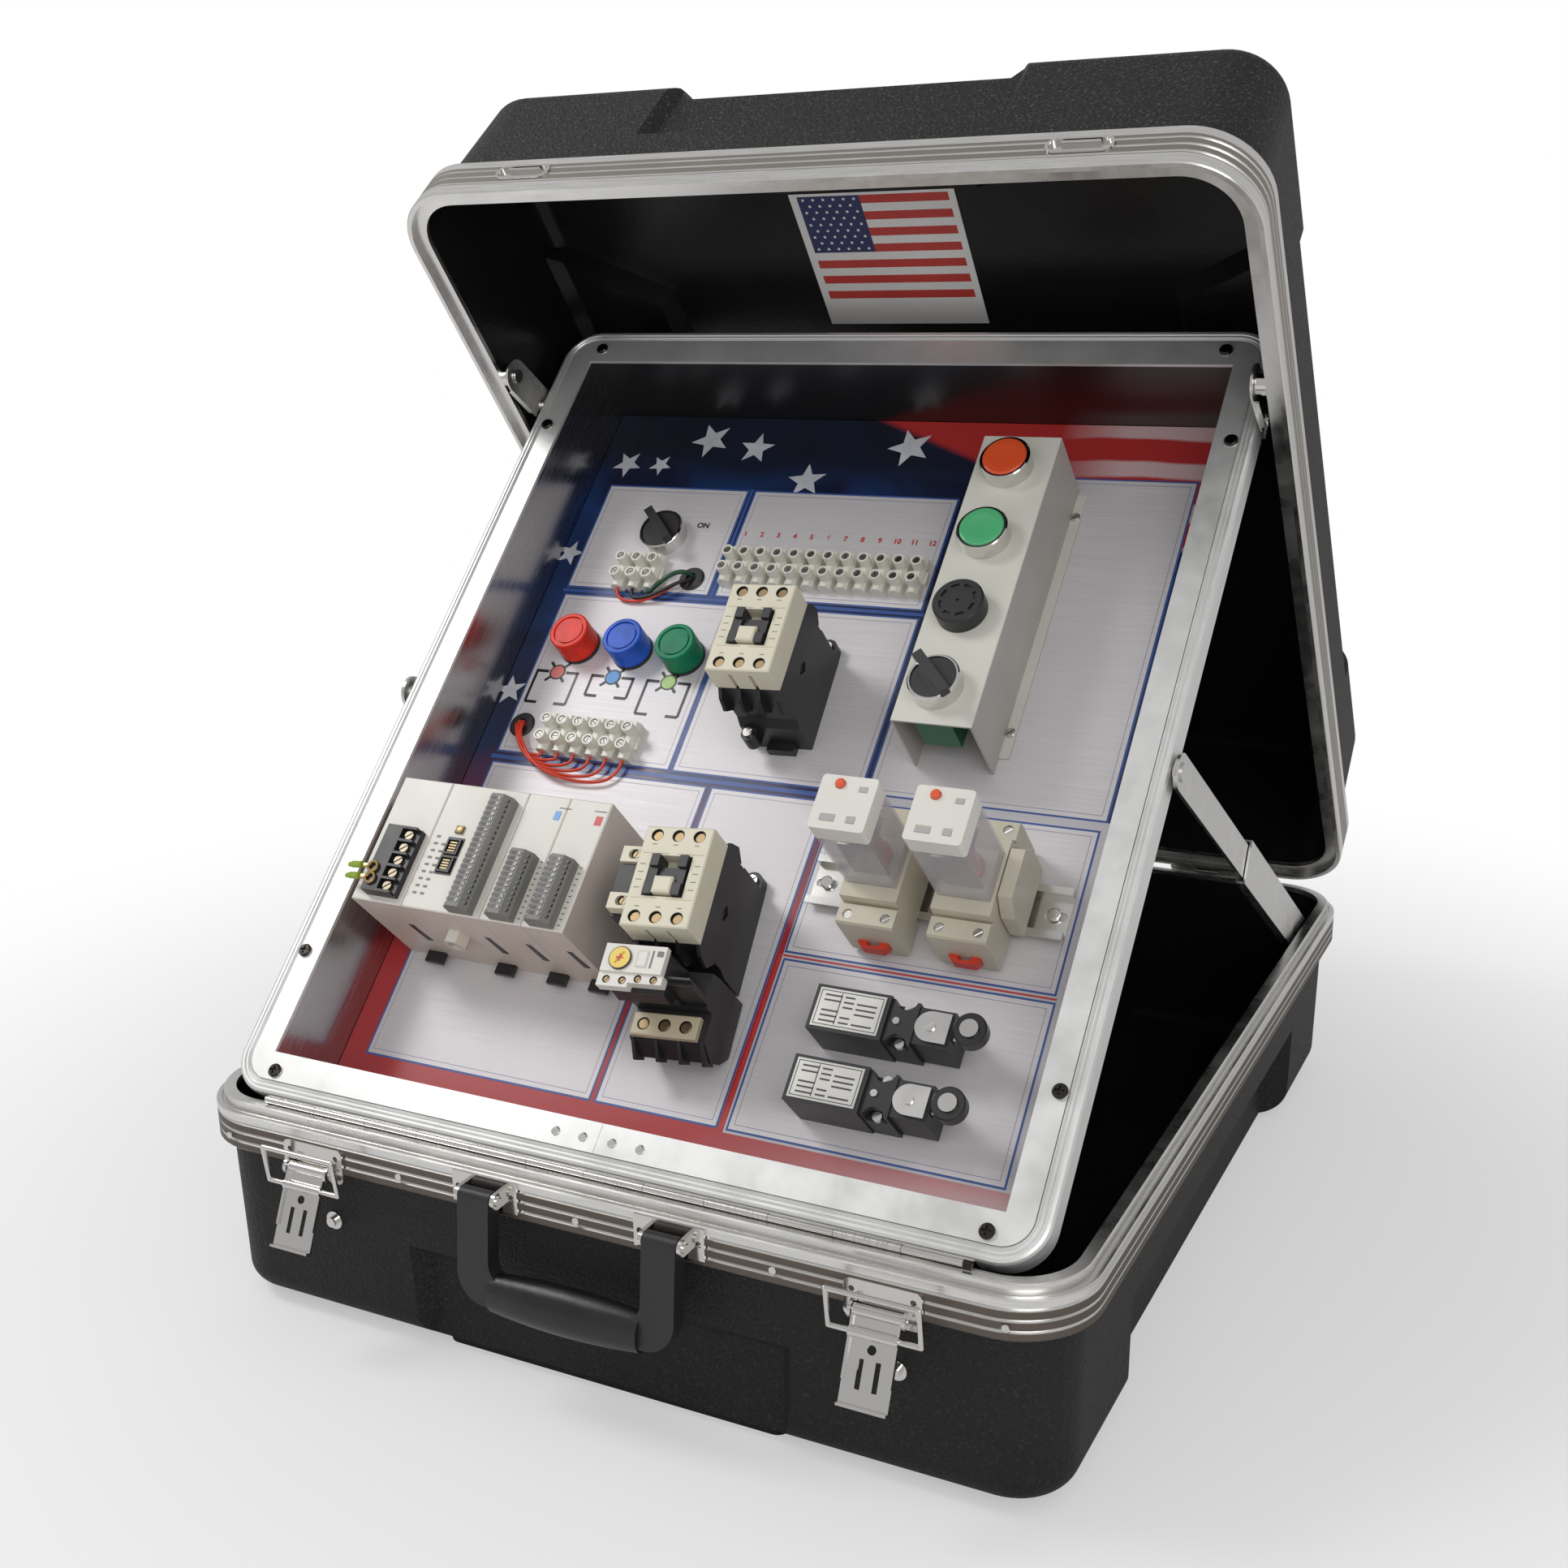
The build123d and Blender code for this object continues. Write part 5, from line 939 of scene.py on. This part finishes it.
class TRAINER_OT_controller(bpy.types.Operator):
    """Adds the wire ways, indicator windows, ports and marks of the controller"""

    bl_idname = "trainer.controller"
    bl_label = "Controller details"

    def execute(self, context):
        wells = []
        pins = []
        for x, far, count in MODULE_STRIPS:
            pitch = (far - CONTROLLER_FRONT - 5) / count
            for index in range(count):
                y = CONTROLLER_FRONT + 3.5 + (index + 0.5) * pitch
                # The black patches stand in for the wire entries as painted shade in the openings.
                wells.append(block("well", (x + 4.6, y - 1.25, 93.9), (x + 8.2, y + 1.25, 94.1)))
                pins.append(screw("pin", "screw_zinc", x + 10.8, y, 94.35, 1.25, 20 * index, 0.5))
                wells.append(block("well", (x + 14.6, y - 1.0, 90.2), (x + 16.6, y + 1.0, 92.0)))
        settle(wells, "black_ink_and_shade")
        settle(pins)
        self.windows()
        self.marks()
        self.ports()
        self.mains_lug()
        self.slots()
        return {"FINISHED"}

    def windows(self):
        """Two columns of small indicator windows beside the ports, and pin marks beside each strip."""
        places = []
        for row in range(9):
            for x in (-184.5, -178.5):
                if row < 8 or x < -180:
                    y = 147.5 + row * 5.2
                    places.append((x, y, CONTROLLER_TOP, x + 3.0, y + 1.6, CONTROLLER_TOP + 0.25))
        for x, rows in ((-123.5, 11), (-99.6, 11), (-69.8, 11), (-155.8, 18)):
            for row in range(rows):
                y = 141.5 + row * 4.05
                places.append((x, y, CONTROLLER_TOP, x + 1.8, y + 0.8, CONTROLLER_TOP + 0.2))
        settle(blocks("window", *places), "terminal_grey")

    def marks(self):
        """A blue and a red mark for the two modules, each with a thin line."""
        top = CONTROLLER_TOP
        for name, left, right, ink in (("blue", -103.5, -99.0, "sky_ink"), ("red", -72.5, -67.5, "red_ink")):
            mark = block("module_mark_" + name, (left, 213.0, top), (right, 219.5, top + 0.3))
            settle([round_edges(mark, 0.08, 1)], ink)
        lines = blocks("mark_line", (-101.6, 221.6, top, -92.6, 222.3, top + 0.2),
                       (-75.3, 222.6, top, -66.3, 223.3, top + 0.2))
        settle(lines, "terminal_grey")

    def ports(self):
        """Two socket openings and a small switch in the black recess."""
        lows = (164.8, 177.8)
        sockets = []
        for low in lows:
            socket = block("socket", (-173.6, low, 82.6), (-163.0, low + 11.4, 84.2))
            pick_faces(socket)
            inset(0.0012)
            extrude(0, 0, -0.0014)
            leave_edit()
            sockets.append(socket)
        settle(sockets, "satin_black")
        rows = [low + 2.4 + index * 2.0 for low in lows for index in range(4)]
        contacts = blocks("contact", *[(-171.6, y, 82.75, -166.0, y + 0.8, 83.1) for y in rows])
        settle(contacts, "screw_brass")
        switch = block("mode_switch", (-171.5, 193.5, CONTROLLER_TOP), (-165.5, 199.0, 83.6))
        settle([round_edges(switch, 0.3)], "screw_brass")

    def mains_lug(self):
        """Brass ring tongues and short insulated ends at the mains block."""
        rings = []
        for y, x in ((149.5, -213.5), (157.5, -215.0)):
            clear_selection()
            bpy.ops.mesh.primitive_torus_add(
                major_radius=3.4 * MM, minor_radius=1.0 * MM, major_segments=20, minor_segments=8,
                location=(x * MM, y * MM, 92.4 * MM))
            rings.append(apply_place(bpy.context.object))
            tongue = block("tongue", (x - 9.5, y - 1.6, 91.6), (x - 3.0, y + 1.6, 93.0))
            rings.append(round_edges(tongue, 0.4))
        settle(rings, "brass")
        ends = []
        for y, x in ((149.5, -226.4), (157.5, -227.9)):
            clear_selection()
            bpy.ops.mesh.primitive_cylinder_add(
                vertices=16, radius=2.4 * MM, depth=9 * MM, location=(x * MM, y * MM, 91.6 * MM),
                rotation=(0, math.radians(78), 0))
            sleeve = apply_place(bpy.context.object)
            pick_faces(sleeve, lambda centre, normal: normal.x < -0.8)
            inset(0.0006)
            extrude(-0.0035, 0, -0.0012)
            leave_edit()
            ends.append(sleeve)
        settle(ends, "lug_green")

    def slots(self):
        """Black pieces in the arched slots under the modules, as painted shade in the openings."""
        openings = []
        for middle in (-198.5, -137.0, -105.0, -73.5):
            opening = block("slot", (middle - 1.6, 137.35, 27.5), (middle + 2.6, 138.4, 51.0))
            pick_faces(opening)
            bpy.ops.transform.translate(value=(-0.0016, 0, 0))
            leave_edit()
            openings.append(opening)
        settle(openings, "black_ink_and_shade")


class TRAINER_OT_contactors(bpy.types.Operator):
    """Adds brass screws, dark wells and small fittings to the contactors and the overload relay"""

    bl_idname = "trainer.contactors"
    bl_label = "Contactor details"

    def execute(self, context):
        poles = (-POLE_PITCH, 0, POLE_PITCH)
        for index, (x, y, turn) in enumerate(CONTACTORS):
            # Each screw in its well: place, bottom, top and radius of the well, then the screw's top, radius and turn
            places = [(u, v, 87.0, 91.75, 4.15, 90.3, 3.6, 30 + 25 * u / POLE_PITCH)
                      for u in poles for v in (-27.8, 27.8)]
            if index:
                places += [(-30.1, v, 81.0, 84.05, 3.35, 83.0, 2.8, 70) for v in (-14.6, 17.8)]
                places += [(u, -77.8, 40.6, 44.05, 4.15, 43.4, 3.6, 15) for u in poles]
                places += [(u, v, 79.0, 82.05, 2.55, 81.3, 2.1, 50)
                           for u, v in ((-26.5, -66.2), (-15.6, -66.2), (-5.4, -64.6), (5.2, -64.6))]
            wells = []
            screws = []
            for u, v, low, high, radius, top, head, slot_turn in places:
                wall = 0.3 if radius < 3 else 0.35
                wells.append(cup("well", u, v, low, high, radius, wall, 24 if radius > 4 else 20))
                screws.append(screw("screw", "screw_brass", u, v, top, head, slot_turn))
            place = TRAY @ Matrix.Translation((x * MM, y * MM, 0)) @ Matrix.Rotation(math.radians(turn), 4, "Z")
            settle(wells, "black_ink_and_shade", place)
            settle(screws, None, place)
            self.cover_marks(place, poles)
            if index:
                self.overload_face(place)
        return {"FINISHED"}

    def cover_marks(self, place, poles):
        """Small raised ribs and printed bars round the moving bridge."""
        top = COVER_TOP
        bars = [(side * 18.6 - 1.9, -9.0 + row * 5.4, top, side * 18.6 + 1.9, -8.4 + row * 5.4, top + 0.12)
                for side in (-1, 1) for row in range(4)]
        bars += [(u - 1.6, v, top, u + 1.6, v + 0.7, top + 0.12) for u in poles for v in (-21.6, 21.0)]
        settle(blocks("bar", *bars), "cover_ink", place)
        ribs = [(side * 12.0 - 9.0, v, top, side * 12.0 + 9.0, v + 0.7, top + 0.5)
                for side in (-1, 1) for v in (-15.6, 15.0)]
        settle([round_edges(joined(blocks("rib", *ribs)), 0.15, 1)], "cream", place)

    def overload_face(self, place):
        """Reset slide, test button and the arrow on the yellow dial."""
        slide = block("reset_slide", (-8.5, -57.5, 84.0), (-1.5, -47.0, 85.0))
        pick_faces(slide)
        inset(0.001, -0.0005)
        leave_edit()
        settle([slide], "white_plastic", place)
        marks = blocks("mark", (1.0, -58.0, 84.0, 2.2, -46.5, 84.2), (4.6, -50.0, 84.0, 8.4, -46.8, 84.6))
        settle(marks, "terminal_grey", place)
        arrow = blocks("arrow", (-21.9, -53.5, 85.6, -17.1, -52.5, 85.85), (-20.0, -55.4, 85.6, -19.0, -50.6, 85.85))
        settle(arrow, "red_ink", place, "overload_dial")
        rim = cup("dial_rim", -19.5, -53.0, 84.0, 85.3, 7.5, 0.5, 28)
        settle([rim], "black_ink_and_shade", place)


class TRAINER_OT_relays(bpy.types.Operator):
    """Builds the clear relay housings and the coils and contacts that show through them"""

    bl_idname = "trainer.relays"
    bl_label = "Relay insides"

    def execute(self, context):
        for index, x in enumerate(RELAYS):
            self.housing("relay_shell_%d" % (index + 1), x)
            self.coil("relay_coil_%d" % (index + 1), x)
            steel = blocks(
                "yoke", (x - 12, 220.5, 50, x + 12, 222.5, 86), (x - 12, 220.5, 83.5, x + 12, 243, 85.5),
                *[(x + left, near, 88, x + left + 6, near + 1, 101) for near in (236, 228) for left in (-10, 4)])
            settle([round_edges(joined(steel), 0.3)], "dull_zinc")
            base = blocks("foot", (x - 15, 217, 46.2, x + 15, 247, 51), (x - 13, 226, 95, x + 13, 239, 98))
            settle([round_edges(joined(base), 0.4)], "white_plastic")
            low, high = RELAY_CAP_TOP, RELAY_CAP_TOP + 0.5
            pads = blocks(
                "pad", (x - 11.4, RELAY_ROW - 12.4, low, x - 2.6, RELAY_ROW - 8.6, high),
                (x + 5.6, RELAY_ROW - 12.4, low, x + 10.4, RELAY_ROW - 8.6, high),
                (x + 7.6, RELAY_ROW + 8.6, low, x + 12.4, RELAY_ROW + 11.4, high))
            settle([round_edges(joined(pads), 0.15, 1)], "window_grey")
        return {"FINISHED"}

    def housing(self, name, x):
        """A clear sleeve between the socket and the cap."""
        shell = block(name, (x - 17, RELAY_ROW - 17, 46), (x + 17, RELAY_ROW + 17, 104))
        pick_faces(shell, lambda centre, normal: abs(normal.z) > 0.9)
        bpy.ops.mesh.delete(type="FACE")
        leave_edit()
        make_active(shell)
        wall = shell.modifiers.new("wall", "SOLIDIFY")
        wall.thickness = 1.2 * MM
        wall.offset = -1
        bpy.ops.object.modifier_apply(modifier=wall.name)
        settle([shell], "clear_cover")
        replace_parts(shell, "relay_housings")

    def coil(self, name, x):
        """A copper winding, drawn in between two cheeks."""
        coil = post(name, x, RELAY_ROW, 52, 82, 10.5, 28)
        for height in (54.0, 56.2, 77.8, 80.0):
            make_active(coil)
            bpy.ops.object.mode_set(mode="EDIT")
            bpy.ops.mesh.select_all(action="SELECT")
            bpy.ops.mesh.bisect(plane_co=(0, 0, height * MM), plane_no=(0, 0, 1))
            leave_edit()
        pick_faces(coil, lambda centre, normal: abs(normal.z) < 0.1 and 0.0562 < centre.z < 0.0778)
        bpy.ops.mesh.inset(thickness=0.0001, depth=-0.0016, use_even_offset=True)
        leave_edit()
        settle([coil], "copper")


class TRAINER_OT_limit_labels(bpy.types.Operator):
    """Fills the limit switches' label plates with a plain ruled pattern"""

    bl_idname = "trainer.limit_labels"
    bl_label = "Limit switch labels"

    def execute(self, context):
        for row in LIMIT_ROWS:
            plate = block("rating_plate", (93.4, row - 12.1, 34.6), (136.1, row + 12.1, 34.75))
            plate.data.materials.append(finishes["silver_label"])
            plate.data.materials.append(finishes["label_ink"])
            pick_faces(plate)
            inset(0.0009)
            ink_selected(plate, 1)
            inset(0.0006)
            ink_selected(plate, 0)
            leave_edit()
            settle([plate])
            bars = []
            for line in range(6):
                y = row - 8.9 + line * 3.3
                for start, length in ((97.5, 11), (110.5, 6.5), (119.0, 13.0)):
                    if (line + int(start)) % 4:
                        bars.append((start, y, 34.7, start + length, y + 1.1, 34.85))
            bars.append((107.8, row - 10, 34.7, 108.4, row + 10, 34.85))
            settle(blocks("bar", *bars), "label_ink")
        return {"FINISHED"}


class TRAINER_OT_box_screws(bpy.types.Operator):
    """Screws down the control box's flange and the mounting rail"""

    bl_idname = "trainer.box_screws"
    bl_label = "Box and rail screws"

    def execute(self, context):
        screws = [
            screw("flange_screw", "chrome", x, y, top, radius, 40, 2.2)
            for x, y, top, radius in ((150.2, 531.0, 3.6, 3.1), (150.2, 356.0, 3.6, 3.1),
                                      (211.5, RELAY_ROW, 4.2, 4.2), (58.5, RELAY_ROW, 4.2, 4.2))]
        settle(screws)
        return {"FINISHED"}


class TRAINER_OT_lid_decal(bpy.types.Operator):
    """Sticks a striped decal inside the lid"""

    bl_idname = "trainer.lid_decal"
    bl_label = "Lid decal"

    def execute(self, context):
        inner = RIM_PLANE + LID_HEIGHT - LID_WALL
        left, right = -66.0, 50.0
        near, far = LID_HINGE_Y - 512.0, LID_HINGE_Y - 602.0
        low = inner - 0.35
        sheet = block("decal_sheet", (left - 6, far - 5, low), (right + 5, near + 24, inner - 0.05))
        self.stick([round_edges(sheet, 0.1)], "decal_white")
        stripes = []
        step = (near - far) / 13
        corner_right = left + 0.42 * (right - left)
        for index in range(0, 13, 2):
            start = left if index >= 7 else corner_right
            y = far + index * step
            stripes.append((start, y, low - 0.10, right, y + step, low))
        self.stick(blocks("decal_stripe", *stripes), "decal_red")
        self.stick([block("decal_corner", (left, far, low - 0.12), (corner_right, far + 7 * step, low))], "decal_blue")
        dots = []
        for row in range(9):
            count = 6 if row % 2 == 0 else 5
            for column in range(count):
                x = left + 4.2 + 8.0 * column + (0 if count == 6 else 4.0)
                dots.append(post("decal_dot", x, far + 2.9 + 5.3 * row, low - 0.20, low - 0.05, 1.1, 10))
        self.stick(dots, "decal_white")
        return {"FINISHED"}

    def stick(self, pieces, finish):
        settle(pieces, finish, LID, "lid")


class TRAINER_OT_stage(bpy.types.Operator):
    """Sets the floor, the lights and the camera"""

    bl_idname = "trainer.stage"
    bl_label = "Stage"

    def execute(self, context):
        settings = context.scene.trainer_stage
        self.floor(settings)
        self.world(settings)
        self.light("key_light", (-1.55, -0.75, 2.10), settings.key_power, 0.75)
        self.light("front_fill", (1.5, -2.1, 1.5), settings.key_power * 0.95, 1.6)
        self.camera(settings)
        context.scene.view_settings.view_transform = "Standard"
        return {"FINISHED"}

    def floor(self, settings):
        """Plain paper that fades to white away from the object, for the camera only."""
        clear_selection()
        bpy.ops.mesh.primitive_plane_add(size=24, location=(0, 0, 0))
        floor = bpy.context.object
        floor.name = "floor"
        material = bpy.data.materials.new("floor_paper")
        material.use_nodes = True
        tree = material.node_tree
        feed_shader(tree, Base_Color=settings.floor_colour, Roughness=0.9, Specular_IOR_Level=0.1)
        reach = calculate(tree, "LENGTH", node(tree, "TexCoord").outputs["Object"], kind="VectorMath", output=1)
        fade = remap(tree, reach, 0.42, 1.0, 0.42, 1.15, smooth=True)
        seen = calculate(tree, "MULTIPLY", node(tree, "LightPath").outputs["Is Camera Ray"], fade)
        white = node(tree, "Emission", in_Strength=1.0)
        mix = node(tree, "MixShader", in_0=seen, in_1=tree.nodes["Principled BSDF"].outputs[0], in_2=white.outputs[0])
        tree.links.new(mix.outputs[0], tree.nodes["Material Output"].inputs["Surface"])
        floor.data.materials.append(material)

    def world(self, settings):
        """Even light from all round, and a white background for the camera."""
        world = bpy.data.worlds.new("studio")
        bpy.context.scene.world = world
        world.use_nodes = True
        tree = world.node_tree
        path = node(tree, "LightPath").outputs
        seen = calculate(tree, "MAXIMUM", path["Is Camera Ray"], path["Is Transmission Ray"])
        level = node(tree, "MapRange", in_To_Min=settings.ambient, in_To_Max=1.0, in_Value=seen)
        back = tree.nodes["Background"].inputs
        feed(tree, back["Color"], (1, 1, 1))
        feed(tree, back["Strength"], level.outputs[0])

    def light(self, name, place, power, size):
        lamp = bpy.data.lights.new(name, "AREA")
        lamp.energy = power
        lamp.size = size
        thing = bpy.data.objects.new(name, lamp)
        bpy.context.scene.collection.objects.link(thing)
        thing.location = place
        aim = Vector((0, 0, 0.35)) - Vector(place)
        thing.rotation_euler = aim.to_track_quat("-Z", "Y").to_euler()

    def camera(self, settings):
        lens = bpy.data.cameras.new("camera")
        lens.lens = settings.focal_length
        lens.sensor_width = 36
        thing = bpy.data.objects.new("camera", lens)
        bpy.context.scene.collection.objects.link(thing)
        azimuth, elevation, roll = math.radians(27.2369), math.radians(15.7417), math.radians(-1.1934)
        away = Vector((math.sin(azimuth) * math.cos(elevation), -math.cos(azimuth) * math.cos(elevation),
                       math.sin(elevation)))
        right = (-away).cross(Vector((0, 0, 1))).normalized()
        up = right.cross(-away)
        across = math.cos(roll) * right + math.sin(roll) * up
        upward = math.cos(roll) * up - math.sin(roll) * right
        turn = Matrix((across, upward, away)).transposed().to_4x4()
        thing.matrix_world = Matrix.Translation((0.54994, -1.14582, 0.65360)) @ turn
        bpy.context.scene.camera = thing


class TRAINER_PT_panel(bpy.types.Panel):
    """Lists the steps that dress the trainer"""

    bl_idname = "TRAINER_PT_panel"
    bl_label = "Control trainer"
    bl_space_type = "VIEW_3D"
    bl_region_type = "UI"
    bl_category = "Trainer"

    def draw(self, context):
        layout = self.layout
        for settings in (context.scene.trainer_case, context.scene.trainer_panel, context.scene.trainer_stage):
            column = layout.column(align=True)
            for key in settings.__annotations__:
                column.prop(settings, key)
        for operator in OPERATORS:
            layout.operator(operator.bl_idname)


OPERATORS = (
    TRAINER_OT_stage,
    TRAINER_OT_finishes,
    TRAINER_OT_panel_print,
    TRAINER_OT_terminal_screws,
    TRAINER_OT_wires,
    TRAINER_OT_controller,
    TRAINER_OT_contactors,
    TRAINER_OT_relays,
    TRAINER_OT_limit_labels,
    TRAINER_OT_box_screws,
    TRAINER_OT_lid_decal,
)
CLASSES = (CaseSettings, PanelSettings, StageSettings) + OPERATORS + (TRAINER_PT_panel,)


def register():
    for item in CLASSES:
        bpy.utils.register_class(item)
    bpy.types.Scene.trainer_case = bpy.props.PointerProperty(type=CaseSettings)
    bpy.types.Scene.trainer_panel = bpy.props.PointerProperty(type=PanelSettings)
    bpy.types.Scene.trainer_stage = bpy.props.PointerProperty(type=StageSettings)


def unregister():
    del bpy.types.Scene.trainer_stage
    del bpy.types.Scene.trainer_panel
    del bpy.types.Scene.trainer_case
    for item in reversed(CLASSES):
        bpy.utils.unregister_class(item)


def main():
    register()
    for operator in OPERATORS:
        group, name = operator.bl_idname.split(".")
        getattr(getattr(bpy.ops, group), name)()


if __name__ == "__main__":
    main()
